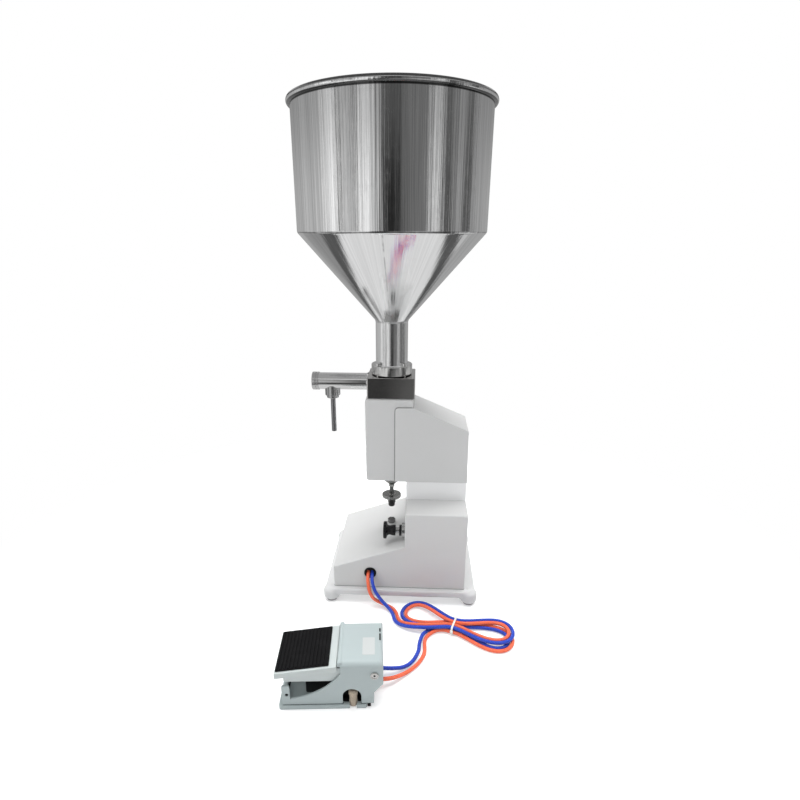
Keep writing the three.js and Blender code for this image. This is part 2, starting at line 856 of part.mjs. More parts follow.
function productCylinder() {
  return ringAlongZ(product.bore, product.bore + product.wall, airTop, housingTop, facets.medium);
}

function productPiston() {
  const radius = product.bore - 2 * gap;
  const middle = (pistonFloor + pistonTop) / 2;
  const half = product.sealHeight / 2 + gap;
  return turned(
    [
      [0, pistonFloor],
      [radius, pistonFloor],
      [radius, middle - half],
      [radius - product.grooveDepth, middle - half],
      [radius - product.grooveDepth, middle + half],
      [radius, middle + half],
      [radius, pistonTop],
      [0, pistonTop],
    ],
    facets.medium,
  );
}

function pistonSeal() {
  const middle = (pistonFloor + pistonTop) / 2;
  const half = product.sealHeight / 2;
  const bore = product.bore - gap - product.grooveDepth;
  return ringAlongZ(bore, product.bore - gap, middle - half, middle + half, facets.medium);
}

function airBarrel() {
  return ringAlongZ(air.bore, air.bore + air.wall, barrelFloor, barrelTop, facets.medium);
}

function airCap(floor) {
  return ringAlongZ(rod.radius + gap, air.bore + air.wall, floor, floor + air.capHeight, facets.medium);
}

function airPiston() {
  return ringAlongZ(
    rod.radius + gap,
    air.bore - gap,
    airPistonFloor,
    airPistonFloor + air.pistonHeight,
    facets.medium,
  );
}

function strokeRod() {
  return rodAlongZ(rod.radius, rodEnd + adjust.up + gap, pistonFloor, facets.small);
}

function rodBush() {
  const bore = rod.radius + gap;
  return turned(
    [
      [bore, bushEnd],
      [bush.sleeve, bushEnd],
      [bush.sleeve, housingFloor - bush.rim - bush.coneHeight],
      [bush.radius, housingFloor - bush.rim],
      [bush.radius, housingFloor],
      [bush.spigot, housingFloor],
      [bush.spigot, housingFloor + bush.bite],
      [bore, housingFloor + bush.bite],
    ],
    facets.medium,
  );
}

function adjustingDisc() {
  const low = discTop - disc.thickness;
  return turned(
    [
      [rod.radius + gap, low],
      [disc.radius - disc.edge, low],
      [disc.radius, low + disc.edge],
      [disc.radius, discTop - disc.edge],
      [disc.radius - disc.edge, discTop],
      [disc.hub, discTop],
      [disc.hub, discTop + disc.hubHeight],
      [rod.radius + gap, discTop + disc.hubHeight],
    ],
    facets.medium,
  );
}

function domedNut() {
  const shoulder = nutTop - lockNut.height;
  const profile = [[0, shoulder - lockNut.domeHeight]];
  for (let i = 1; i <= facets.arc; i += 1) {
    const angle = (Math.PI / 2) * (i / facets.arc);
    profile.push([lockNut.dome * Math.sin(angle), shoulder - lockNut.domeHeight * Math.cos(angle)]);
  }
  profile.push([0, shoulder]);
  const hex = hexagon(lockNut.radius, shoulder, nutTop);
  const bore = rodAlongZ(rod.radius + gap, shoulder, nutTop + overrun, facets.small);
  return cut(join(hex, turned(profile, facets.small)), bore);
}

function stopStud() {
  const seat = slopeAt(0) + stud.padRise;
  const shank = rodAlongZ(stud.shank, seat - stud.depth, seat + stud.height / 2, facets.small);
  return join(hexagon(stud.radius, seat, seat + stud.height), shank);
}

// Speed regulator, along X

function atRegulator(made) {
  return layAlongX(made).translate([0, regulatorY, regulatorZ]);
}

function regulatorCollar() {
  const wall = base.wallSetback;
  const front = wall - regulator.collarLength;
  const bore = regulator.stem + gap;
  return atRegulator(
    turned(
      [
        [bore, front - regulator.neckLength],
        [regulator.neckRadius, front - regulator.neckLength],
        [regulator.neckRadius, front],
        [regulator.collar, front],
        [regulator.collar, wall],
        [regulatorFit.spigot, wall],
        [regulatorFit.spigot, wall + regulatorFit.spigotLength],
        [bore, wall + regulatorFit.spigotLength],
      ],
      facets.small,
    ),
  );
}

function regulatorRing() {
  const rear = base.wallSetback - regulator.collarLength - gap;
  return atRegulator(
    ringAlongZ(regulator.neckRadius + gap, regulatorFit.ring, rear - regulatorFit.ringLength, rear, facets.small),
  );
}

function regulatorKnob() {
  const rear = base.wallSetback - regulator.collarLength - regulator.neckLength - gap;
  const front = rear - knob.length;
  return atRegulator(
    turned(
      [
        [0, front],
        [knob.flange - knob.edge, front],
        [knob.flange, front + knob.edge],
        [knob.flange, front + knob.flangeLength - knob.edge],
        [knob.radius, front + knob.flangeLength + knob.edge],
        [knob.waist, (front + rear) / 2],
        [knob.radius, rear - knob.rearLength],
        [knob.radius, rear],
        [regulator.stem, rear],
        [regulator.stem, base.wallSetback + regulatorFit.tail],
        [0, base.wallSetback + regulatorFit.tail],
      ],
      facets.small,
    ),
  );
}

// Foot valve

function pedalFloorPlate() {
  const plate = alongZ(
    roundedRectangle(
      pedalPlate.front,
      pedalPlate.rear,
      -pedalPlate.halfWidth,
      pedalPlate.halfWidth,
      pedalPlate.corner,
    ),
    0,
    pedalPlate.thickness,
    pedalPlate.edge,
  );
  const notchY = -pedal.halfWidth + silencer.inset;
  const notch = join(
    rodAlongZ(pedalPlate.notch, -overrun, pedalPlate.thickness + overrun, facets.small).translate([
      silencer.x,
      notchY,
      0,
    ]),
    boxOf(
      silencer.x - pedalPlate.notch,
      silencer.x + pedalPlate.notch,
      -pedalPlate.halfWidth - overrun,
      notchY,
      -overrun,
      pedalPlate.thickness + overrun,
    ),
  );
  return cut(plate, notch);
}

function cheekOutline() {
  const floor = pedalPlate.thickness + gap;
  const run = pedal.hoodFront - cheek.postRear;
  const rise = cheekCurve.top - cheek.low;
  const curve = cheekCurve.xShares.map((share, i) => [
    cheek.postRear + run * share,
    cheek.low + rise * cheekCurve.zShares[i],
  ]);
  return [
    [cheek.front, floor],
    [cheek.lowRear, floor],
    [cheek.lowRear, cheek.rearLow],
    [pedal.rear, cheek.rearHigh],
    [pedal.rear, pedal.top - pedal.round],
    [pedal.rear - pedal.round, pedal.top],
    [pedal.hoodFront, pedal.top],
    ...curve.reverse(),
    [cheek.postRear, cheek.low],
    [cheek.postRear, cheek.postTop],
    [cheek.front, cheek.postTop],
  ];
}

function pedalCasing() {
  const half = pedal.halfWidth;
  const inner = half - pedal.wall;
  const whole = alongY(polygon(cheekOutline()), -half, half);
  const crown = alongX(
    roundedRectangle(-half, half, -pedal.top, pedal.top, pedal.round),
    cheek.front - overrun,
    pedal.rear + overrun,
  );
  const hollow = alongY(
    polygon([
      [cheek.front - overrun, -overrun],
      [cheek.lowRear - pedal.wall, -overrun],
      [cheek.lowRear - pedal.wall, cheek.rearLow],
      [pedal.rear - pedal.wall, cheek.rearHigh],
      [pedal.rear - pedal.wall, pedal.top - pedal.round],
      [pedal.rear - pedal.round, pedal.top - pedal.wall],
      [cheek.front - overrun, pedal.top - pedal.wall],
    ]),
    -inner,
    inner,
  );
  const floor = pedalPlate.thickness + gap;
  const sill = boxOf(cheek.front, cheek.front + pedal.wall, -inner, inner, floor, cheek.low);
  const rearGate = boxOf(
    cheek.rearTurn,
    pedal.rear + overrun,
    -valve.halfWidth - pedal.wall,
    valve.halfWidth + pedal.wall,
    -overrun,
    valve.top + overrun,
  );
  const archway = alongY(
    roundedRectangle(arch.x - arch.radius, arch.x + arch.radius, -arch.height, arch.height, arch.radius - gap),
    -half - overrun,
    -inner + overrun,
  );
  const pinHole = layAlongY(rodAlongZ(pivot.radius + gap, -half - overrun, half + overrun, facets.tiny)).translate([
    pivot.x,
    0,
    pivot.z,
  ]);
  const screwHole = layAlongY(rodAlongZ(frontScrew.radius, -half - overrun, -inner + overrun, facets.tiny)).translate([
    frontScrew.x,
    0,
    frontScrew.z,
  ]);
  const shell = join(cut(whole.intersect(crown), hollow), sill);
  return cut(shell, rearGate, archway, pinHole, screwHole);
}

function treadleBody() {
  const tip = treadle.tip;
  const rear = treadle.rear;
  const plate = alongY(
    polygon([
      [tip, treadleTopAt(tip) - treadle.thickness],
      [rear, treadleTopAt(rear) - treadle.thickness],
      [rear, treadleTopAt(rear)],
      [tip, treadleTopAt(tip)],
    ]),
    -treadle.halfWidth,
    treadle.halfWidth,
    treadle.wall / 2,
  );
  const under = alongY(
    polygon([
      [tip + treadle.wall, treadleTopAt(tip) - treadle.thickness - overrun],
      [rear - treadle.wall, treadleTopAt(rear) - treadle.thickness - overrun],
      [rear - treadle.wall, treadleTopAt(rear) - treadleSide.shell],
      [tip + treadle.wall, treadleTopAt(tip) - treadleSide.shell],
    ]),
    -treadle.halfWidth + treadle.wall,
    treadle.halfWidth - treadle.wall,
  );
  const eyeTop = pivot.z + treadleSide.eye;
  const eyeLow = pivot.z - treadleSide.eye;
  const side = polygon([
    [treadleSide.front, treadleSide.low],
    [treadleSide.armRear, treadleSide.low],
    [pivot.x - treadleSide.eye / 2, eyeLow],
    [pivot.x + treadleSide.eye / 2, eyeLow],
    [pivot.x + treadleSide.eye, pivot.z - treadleSide.eye / 2],
    [pivot.x + treadleSide.eye, pivot.z + treadleSide.eye / 2],
    [pivot.x + treadleSide.eye / 2, eyeTop],
    [rear, treadleTopAt(rear) - treadleSide.armTop],
    [rear - treadle.wall, treadleTopAt(rear) - treadleSide.shell / 2],
    [treadleSide.front, treadleTopAt(treadleSide.front) - treadleSide.shell / 2],
  ]);
  const skirts = [-1, 1].map((hand) => {
    const outer = hand * treadle.skirt;
    const inner = hand * (treadle.skirt - treadle.wall);
    return alongY(side, Math.min(outer, inner), Math.max(outer, inner));
  });
  const pinHole = layAlongY(
    rodAlongZ(pivot.radius + gap, -treadle.halfWidth, treadle.halfWidth, facets.tiny),
  ).translate([pivot.x, 0, pivot.z]);
  return cut(join(cut(plate, under), ...skirts), pinHole);
}

// The ribbed pad lies on the treadle's slope
function treadlePad() {
  const half = rubber.halfWidth;
  const sheet = boxOf(0, rubber.length, -half, half, 0, rubber.thickness);
  const pitch = rubber.length / rubber.ribs;
  const ribWidth = pitch * rubber.ribShare;
  const ribs = Array.from({ length: rubber.ribs }, (_, i) => {
    const start = pitch * i + (pitch - ribWidth) / 2;
    return boxOf(
      start,
      start + ribWidth,
      -half + ribWidth / 2,
      half - ribWidth / 2,
      rubber.thickness / 2,
      rubber.thickness + rubber.ribHeight,
    );
  });
  return join(sheet, ...ribs)
    .rotate([0, -treadle.slope, 0])
    .translate([rubber.front, 0, treadleTopAt(rubber.front) + gap]);
}

function pivotPin() {
  const end = pedal.halfWidth + gap;
  const shank = rodAlongZ(pivot.radius, -end, end, facets.tiny);
  const heads = [-1, 1].map((hand) => {
    const face = hand * end;
    const far = hand * (end + pivot.headLength);
    return rodAlongZ(pivot.head, Math.min(face, far), Math.max(face, far), facets.small);
  });
  return layAlongY(join(shank, ...heads)).translate([pivot.x, 0, pivot.z]);
}

function valveBody() {
  const body = alongZ(
    roundedRectangle(valve.front, valve.rear, -valve.halfWidth, valve.halfWidth, valve.edge * 2),
    pedalPlate.thickness + gap,
    valve.top,
    valve.edge,
  );
  const bore = rodAlongZ(
    plunger.radius + gap,
    pedalPlate.thickness + gap + valve.edge * 2,
    valve.top + overrun,
    facets.small,
  ).translate([plunger.x, 0, 0]);
  return cut(body, bore);
}

function plungerTop() {
  return treadleTopAt(plunger.x) - treadleSide.shell - plunger.slack - treadleGrade * plunger.radius * 2;
}

function plungerPin() {
  const low = pedalPlate.thickness + gap + valve.edge * 2 + plunger.travel + gap;
  const top = plungerTop();
  const foot = plunger.radius * plunger.footShare;
  return turned(
    [
      [0, low],
      [plunger.radius, low],
      [plunger.radius, top - plunger.radius],
      [foot, top - plunger.radius],
      [foot, top],
      [0, top],
    ],
    facets.small,
  ).translate([plunger.x, 0, 0]);
}

function treadleSpring() {
  const low = valve.top + gap;
  const top = treadleTopAt(plunger.x - returnSpring.radius) - treadleSide.shell - plunger.slack;
  return coilSpring(
    returnSpring.radius,
    returnSpring.wire,
    returnSpring.turns,
    low,
    top - returnSpring.wire,
  ).translate([plunger.x, 0, 0]);
}

function portFitting() {
  const start = valve.rear + gap;
  const body = join(
    rodAlongZ(port.radius, start, start + port.length - port.colletLength, 6),
    rodAlongZ(port.collet, start, start + port.length, facets.small),
  );
  return layAlongX(body);
}

function exhaustSilencer() {
  const y = -pedal.halfWidth + silencer.inset;
  const body = turned(
    [
      [0, silencer.foot],
      [silencer.radius - pedalPlate.edge, silencer.foot],
      [silencer.radius, silencer.foot + pedalPlate.edge],
      [silencer.radius, silencer.foot + silencer.height - pedalPlate.edge],
      [silencer.radius - pedalPlate.edge, silencer.foot + silencer.height],
      [0, silencer.foot + silencer.height],
    ],
    facets.small,
  ).translate([silencer.x, y, 0]);
  const spigot = layAlongY(rodAlongZ(silencer.spigot, y, -valve.halfWidth - gap, facets.tiny)).translate([
    silencer.x,
    0,
    (pedalPlate.thickness + valve.top) / 2,
  ]);
  return join(body, spigot);
}

// Hoses

function smoothStep(value) {
  const t = Math.min(Math.max(value, 0), 1);
  return t * t * (3 - 2 * t);
}

// The middle of the hose pair at a share of one lobe, in the hank's own plane
function lobePoint(lobe, share) {
  const angle = radians(lobe.from + (lobe.to - lobe.from) * share);
  const outward = Math.cos(angle);
  const opening = Math.hypot(outward, lobeShares.waist) - lobeShares.waist;
  const [climbFrom, climbTo] = lobe.climbShares;
  const layer = THREE.MathUtils.lerp(...lobe.layers, smoothStep((share - climbFrom) / (climbTo - climbFrom)));
  const lift = hank.lift * Math.sin(angle) ** 8;
  const point = new THREE.Vector3(
    lobe.reach * outward,
    Math.sin(angle) * ((hank.slot * (lobe.far - lobe.near)) / 2 + 2 * lobe.open * opening),
    hank.floor + lift + hank.layer * layer,
  );
  point.applyAxisAngle(upright, radians(lobe.fan) * smoothStep(Math.abs(outward) / lobeShares.fan));
  point.y += (hank.slot * (lobe.far + lobe.near)) / 2;
  return point;
}

function hankMiddle() {
  const points = [];
  lobes.forEach((lobe, n) => {
    for (let i = n === 0 ? 0 : 1; i <= hank.lobeSteps; i += 1) points.push(lobePoint(lobe, i / hank.lobeSteps));
  });
  return points;
}

// One hose of the pair: hand is 1 for the hose on the right of the way it runs, and -1 for the left
function hankLine(hand) {
  const middle = hankMiddle();
  const turn = radians(hank.turn);
  const beside = middle.map((point, i) => {
    const ahead = middle[Math.min(i + 1, middle.length - 1)];
    const behind = middle[Math.max(i - 1, 0)];
    const along = new THREE.Vector3().subVectors(ahead, behind).setZ(0).normalize();
    return new THREE.Vector3(
      point.x + (along.y * hand * hose.pitch) / 2,
      point.y - (along.x * hand * hose.pitch) / 2,
      point.z,
    );
  });
  const [start, second, third] = beside;
  const back = new THREE.Vector3().subVectors(start, second).multiplyScalar(3).sub(second).add(third);
  const first = back.setZ(0).setLength(hose.lead).add(start);
  const last = new THREE.Vector3(-hose.lead, 0, 0).add(beside[beside.length - 1]);
  const place = new THREE.Vector3(hank.x, hank.y, 0);
  return [first, ...beside, last].map((point) => point.applyAxisAngle(upright, turn).add(place));
}

function routed(points) {
  return points.map(([x, y, z]) => new THREE.Vector3(x, y, z));
}

// A point a little before or after a line's end, so that the next stretch starts beside it
function beyond(line, atStart, distance) {
  const [end, inner] = atStart ? [line[0], line[1]] : [line[line.length - 1], line[line.length - 2]];
  const out = new THREE.Vector3().subVectors(end, inner).normalize();
  return end.clone().addScaledVector(out, distance);
}

function upperStretch(points, line) {
  return [...routed(points), beyond(line, true, gap + hose.lead), beyond(line, true, gap)];
}

function portSide(hand) {
  return port.shift + (hand * port.spacing) / 2;
}

function portMouth(hand) {
  const reach = valve.rear + gap + port.length + gap;
  const mouth = new THREE.Vector3(reach, portSide(hand), port.height);
  return mouth.applyAxisAngle(upright, radians(pedal.turn)).add(new THREE.Vector3(pedal.x, pedal.y, 0));
}

function lowerStretch(points, line, hand) {
  const mouth = portMouth(hand);
  const lead = new THREE.Vector3(hose.lead, 0, 0).applyAxisAngle(upright, radians(pedal.turn)).add(mouth);
  return [beyond(line, false, gap), beyond(line, false, gap + hose.lead), ...routed(points), lead, mouth];
}

function hoseTube(line, sides, steps) {
  return tube(line, hose.radius, sides, steps);
}

// The least gap between hoses, from points a quarter of a diameter apart
function leastGap(lines) {
  const spots = lines.map((line) => {
    const path = new THREE.CatmullRomCurve3(line);
    const count = Math.ceil((2 * path.getLength()) / hose.radius);
    return path.getSpacedPoints(count);
  });
  let least = Infinity;
  spots.forEach((one, a) => {
    spots.slice(a).forEach((other, b) => {
      one.forEach((p, i) => {
        other.forEach((q, j) => {
          if (b > 0 || j - i > 8 * 2) least = Math.min(least, p.distanceTo(q));
        });
      });
    });
  });
  return least - 2 * hose.radius;
}

function hankTie() {
  const beside = hose.pitch / 2 + hose.radius + tie.clear;
  const far = hank.slot * Math.max(...lobes.map((lobe) => lobe.far)) + beside;
  const near = hank.slot * Math.min(...lobes.map((lobe) => lobe.near)) - beside;
  const low = hank.floor + hank.lift - hose.radius - tie.clear;
  const high = hank.floor + hank.lift + hank.layer + hose.radius + tie.clear;
  const outer = alongX(
    roundedRectangle(
      near - tie.thickness,
      far + tie.thickness,
      low - tie.thickness,
      high + tie.thickness,
      tie.corner,
    ),
    -tie.width / 2,
    tie.width / 2,
  );
  const inner = alongX(
    roundedRectangle(near, far, low, high, tie.corner - tie.thickness),
    -tie.width / 2 - overrun,
    tie.width / 2 + overrun,
  );
  const head = boxOf(
    -tie.headLength / 2,
    tie.headLength / 2,
    near - tie.thickness - tie.headHeight,
    near - tie.thickness / 2,
    low + tie.corner,
    high - tie.corner,
  );
  return join(cut(outer, inner), head)
    .rotate([0, 0, hank.turn])
    .translate([hank.x, hank.y, 0]);
}

// Assembly

machine.add(
  piece("base_casting", baseCasting(), "whitePaint"),
  piece("base_bottom_plate", bottomCover(), "zinc"),
  piece("hose_grommet", hoseGrommet(), "rubberBlack"),
  piece("column", columnFrame(), "whitePaint"),
  piece("front_housing", frontHousing(), "whitePaint"),
  piece("rear_cover", rearCover(), "whitePaint"),
  piece("valve_block", valveBlock(), "polished"),
  piece("outlet_tube", outletTube(), "polished"),
  piece("outlet_end_cap", outletCap(), "polished"),
  piece("outlet_poppet", outletPoppet(), "steel"),
  piece("outlet_spring", outletReturn(), "steel"),
  piece("nozzle_union_nut", unionNut(), "polished"),
  piece("nozzle_spout", spoutTube(), "polished"),
  piece("flange_gasket", flangeGasket(), "rubberBlack"),
  piece("hopper_flange", hopperCollar(), "polished"),
  piece("hopper_neck", hopperNeck(), "polished"),
  piece("hopper_bowl", hopperBowl(), "polished"),
  piece("inlet_poppet", inletPoppet(), "steel"),
  piece("inlet_spring", inletReturn(), "steel"),
  piece("product_cylinder", productCylinder(), "steel"),
  piece("product_piston", productPiston(), "steel"),
  piece("product_piston_seal", pistonSeal(), "seal"),
  piece("air_cylinder_barrel", airBarrel(), "zinc"),
  piece("air_cylinder_bottom_cap", airCap(airFloor), "zinc"),
  piece("air_cylinder_top_cap", airCap(barrelTop), "zinc"),
  piece("air_piston", airPiston(), "zinc"),
  piece("stroke_rod", strokeRod(), "steel"),
  piece("rod_bush", rodBush(), "steel"),
  piece("adjusting_disc", adjustingDisc(), "steel"),
  piece("lock_nut", domedNut(), "steel"),
  piece("stop_stud", stopStud(), "steel"),
  piece("regulator_collar", regulatorCollar(), "steel"),
  piece("regulator_lock_ring", regulatorRing(), "blackPlastic"),
  piece("regulator_knob", regulatorKnob(), "blackPlastic"),
);

footPlaces().forEach(([place, x, y]) => {
  const mesh = piece(`foot_pad_${place}`, rubberFoot(), "rubberBlack");
  mesh.position.set(x, y, 0);
  machine.add(mesh);
});

boltPlaces().forEach(([x, y], i) => {
  const mesh = piece(`flange_bolt_${i + 1}`, flangeBolt(), "steel");
  mesh.position.set(x, y, 0);
  machine.add(mesh);
});

const fittings = [
  ["orange", -1],
  ["blue", 1],
].map(([colour, hand]) => {
  const mesh = piece(`pedal_fitting_${colour}`, portFitting(), "zinc");
  mesh.position.set(0, portSide(hand), port.height);
  return mesh;
});

footValve.add(
  piece("pedal_base_plate", pedalFloorPlate(), "castGreen"),
  piece("pedal_housing", pedalCasing(), "castGreen"),
  piece("pedal_treadle", treadleBody(), "castGreen"),
  piece("pedal_pad", treadlePad(), "rubberBlack"),
  piece("pedal_pivot_pin", pivotPin(), "zinc"),
  piece("pedal_return_spring", treadleSpring(), "steel"),
  piece("pedal_valve_body", valveBody(), "zinc"),
  piece("pedal_plunger", plungerPin(), "steel"),
  piece("pedal_silencer", exhaustSilencer(), "bronze"),
  ...fittings,
);
footValve.position.set(pedal.x, pedal.y, 0);
footValve.rotation.z = radians(pedal.turn);

const blueHank = hankLine(1);
const orangeHank = hankLine(-1);
const blueTop = upperStretch(blueUpper, blueHank);
const orangeTop = upperStretch(orangeUpper, orangeHank);
const blueEnd = lowerStretch(blueLower, blueHank, 1);
const orangeEnd = lowerStretch(orangeLower, orangeHank, -1);
const hankSteps = lobes.length * hank.lobeSteps;

cords.add(
  piece("hose_blue_upper", hoseTube(blueTop, hose.sides, 14), "blueHose"),
  piece("hose_orange_upper", hoseTube(orangeTop, hose.sides, 14), "orangeHose"),
  piece("hose_blue_hank", hoseTube(blueHank, hose.hankSides, hankSteps), "blueHose"),
  piece("hose_orange_hank", hoseTube(orangeHank, hose.hankSides, hankSteps), "orangeHose"),
  piece("hose_blue_lower", hoseTube(blueEnd, hose.sides, 16), "blueHose"),
  piece("hose_orange_lower", hoseTube(orangeEnd, hose.sides, 16), "orangeHose"),
  piece("hank_tie", hankTie(), "tieWhite"),
);

console.log("least gap between the hoses in the hank", leastGap([blueHank, orangeHank]).toFixed(2), "mm");

// The origin lies on the floor, under the middle of the machine and its foot valve

const part = new THREE.Group();
part.add(machine, footValve, cords);
const bounds = new THREE.Box3().setFromObject(machine).union(new THREE.Box3().setFromObject(footValve));
const middle = bounds.getCenter(new THREE.Vector3());
part.position.set(-middle.x, -middle.y, -bounds.min.z);

export default part;
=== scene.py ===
"""The looks of a pneumatic filling machine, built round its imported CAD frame.

Lengths in the classes are millimetres, as in the part's source: X runs from the nozzle to the
rear, Y across the machine and Z up from the floor, from the hopper's axis or from the foot
valve's own corner. Each finished piece is then placed in the row's metres.
"""

from __future__ import annotations

import logging
import math
from dataclasses import dataclass, field
from enum import Enum
from typing import Any, Iterable, Sequence

import bmesh
import bpy
from mathutils import Matrix, Vector

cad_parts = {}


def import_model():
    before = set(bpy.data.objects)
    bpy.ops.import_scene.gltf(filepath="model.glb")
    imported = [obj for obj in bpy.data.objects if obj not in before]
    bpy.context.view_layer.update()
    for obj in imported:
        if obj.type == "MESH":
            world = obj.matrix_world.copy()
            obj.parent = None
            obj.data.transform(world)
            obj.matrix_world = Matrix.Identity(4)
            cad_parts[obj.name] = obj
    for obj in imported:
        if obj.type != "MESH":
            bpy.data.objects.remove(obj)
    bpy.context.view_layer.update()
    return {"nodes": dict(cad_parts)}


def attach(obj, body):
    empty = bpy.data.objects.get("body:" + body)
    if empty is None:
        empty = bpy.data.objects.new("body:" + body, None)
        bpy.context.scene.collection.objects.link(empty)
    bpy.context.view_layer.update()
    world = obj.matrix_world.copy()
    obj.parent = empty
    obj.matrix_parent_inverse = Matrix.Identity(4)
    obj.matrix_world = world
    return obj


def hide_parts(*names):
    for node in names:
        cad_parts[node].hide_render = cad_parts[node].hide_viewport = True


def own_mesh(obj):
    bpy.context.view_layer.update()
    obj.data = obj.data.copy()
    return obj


LOG = logging.getLogger("filling_machine")

Point = tuple[float, float]
Colour = tuple[float, float, float]
Cards = tuple[tuple[float, float], ...]
Route = tuple[tuple[float, float, float], ...]

MM = 0.001
HOPPER_AXIS = Vector((-4.026, 130.463, 0.0))
FOOT_VALVE_CORNER = Vector((-198.0, -399.0, 0.0))
FOOT_VALVE_TURN = math.radians(4.5)
PORTS = {"orange": -8.0, "blue": 20.0}
PORT_HEIGHT = 17.0
MACHINE = Matrix.Scale(MM, 4) @ Matrix.Translation(HOPPER_AXIS)
FOOT_VALVE = MACHINE @ Matrix.Translation(FOOT_VALVE_CORNER) @ Matrix.Rotation(FOOT_VALVE_TURN, 4, "Z")


class Slot(Enum):
    """The record's material slots."""

    WHITE_PAINT = "white_paint"
    POLISHED = "polished_steel"
    STEEL = "steel"
    ALUMINIUM = "aluminium"
    NICKEL = "nickel_brass"
    RUBBER = "black_rubber"
    SEAL = "red_seal"
    BLACK_PLASTIC = "black_plastic"
    CAST_PAINT = "cast_aluminium_paint"
    BRONZE = "sintered_bronze"
    BLUE_HOSE = "blue_hose"
    ORANGE_HOSE = "orange_hose"
    NYLON = "white_nylon"


class Axis(Enum):
    """The way that a flat outline is drawn out. Its own two directions are the other two."""

    X = ((0, 0, 1), (1, 0, 0), (0, 1, 0))
    Y = ((1, 0, 0), (0, 0, 1), (0, 1, 0))
    Z = ((1, 0, 0), (0, 1, 0), (0, 0, 1))

    def matrix(self) -> Matrix:
        """Gives the matrix that lays a drawn outline along this axis."""
        return Matrix(self.value).to_4x4()


class Lay(Enum):
    """How far polishing marks stretch along X, Y and Z: small is long."""

    EVEN = (1.0, 1.0, 1.0)
    ALONG_X = (0.04, 1.0, 1.0)
    RINGS_ROUND_Z = (0.08, 0.08, 1.0)
    RINGS_ROUND_X = (1.0, 0.08, 0.08)


# Shader nodes


class Graph:
    """A node tree that is filled by code."""

    def __init__(self, tree: bpy.types.NodeTree) -> None:
        """Takes over a tree and empties it."""
        self.tree = tree
        tree.nodes.clear()

    def node(
        self, kind: str, settings: dict[str, Any] | None = None, inputs: dict[Any, Any] | None = None
    ) -> bpy.types.Node:
        """Adds a node.

        Args:
            kind: the node's type.
            settings: its properties, and "stops" for a ramp's places and colours.
            inputs: values, signals or sockets for its sockets, by name or number.

        Returns:
            The node.
        """
        made = self.tree.nodes.new(kind)
        for key, value in (settings or {}).items():
            if key == "stops":
                self._set_stops(made.color_ramp, value)
            else:
                setattr(made, key, value)
        for key, value in (inputs or {}).items():
            source = value.socket if isinstance(value, Signal) else value
            if isinstance(source, bpy.types.NodeSocket):
                self.tree.links.new(source, made.inputs[key])
            else:
                made.inputs[key].default_value = source
        return made

    def signal(
        self,
        kind: str,
        settings: dict[str, Any] | None = None,
        inputs: dict[Any, Any] | None = None,
        output: int | str = 0,
    ) -> Signal:
        """Adds a node and gives one of its outputs."""
        return Signal(self, self.node(kind, settings, inputs).outputs[output])

    @staticmethod
    def _set_stops(ramp: bpy.types.ColorRamp, stops: Sequence[tuple[float, Colour]]) -> None:
        """Gives a ramp its stops.

        Args:
            ramp: the ramp of a new node.
            stops: places from 0 to 1 with their colours.
        """
        while len(ramp.elements) < len(stops):
            ramp.elements.new(1.0)
        for element, (place, colour) in zip(ramp.elements, stops):
            element.position = place
            element.color = (*colour, 1.0)

    def coordinates(self) -> Signal:
        """Gives the place on the object, in metres."""
        return self.signal("ShaderNodeTexCoord", output="Object")

    def stretched(self, place: Signal, scale: Sequence[float]) -> Signal:
        """Stretches a place along the axes."""
        return self.signal("ShaderNodeMapping", inputs={"Vector": place, "Scale": tuple(scale)})

    def noise(self, place: Signal, size: float, detail: float = 2.0, roughness: float = 0.5) -> Signal:
        """Makes soft noise."""
        inputs = {"Vector": place, "Scale": 1.0 / size, "Detail": detail, "Roughness": roughness}
        return self.signal("ShaderNodeTexNoise", inputs=inputs)

    def split(self, place: Signal) -> tuple[Signal, Signal, Signal]:
        """Gives a place's three numbers."""
        parts = self.node("ShaderNodeSeparateXYZ", inputs={0: place})
        return tuple(Signal(self, part) for part in parts.outputs)

    def vector(
        self, operation: str, first: Any, second: Any = (0.0, 0.0, 0.0), output: str = "Vector"
    ) -> Signal:
        """Adds a Vector Math node."""
        inputs = {0: first, 1: second}
        return self.signal("ShaderNodeVectorMath", {"operation": operation}, inputs, output)

    def mixed(self, share: Signal | float, first: Any, second: Any) -> Signal:
        """Mixes two colours."""
        inputs = {0: share, 6: _rgba(first), 7: _rgba(second)}
        return self.signal("ShaderNodeMix", {"data_type": "RGBA"}, inputs, output=2)

    def bump(self, height: Signal, depth: float) -> Signal:
        """Turns a height into a bent normal."""
        return self.signal("ShaderNodeBump", inputs={"Height": height, "Distance": depth, "Strength": 1.0})

    def glow(self, colour: Any, strength: float = 1.0) -> Signal:
        """Adds a surface that glows evenly."""
        return self.signal("ShaderNodeEmission", inputs={"Color": _rgba(colour), "Strength": strength})

    def blended(self, share: Signal, first: Signal, second: Signal) -> Signal:
        """Blends two shaders."""
        return self.signal("ShaderNodeMixShader", inputs={0: share, 1: first, 2: second})

    def surface(self, inputs: dict[str, Any]) -> None:
        """Ends a material in one Principled shader."""
        shader = self.signal("ShaderNodeBsdfPrincipled", inputs=inputs)
        self.node("ShaderNodeOutputMaterial", inputs={"Surface": shader})


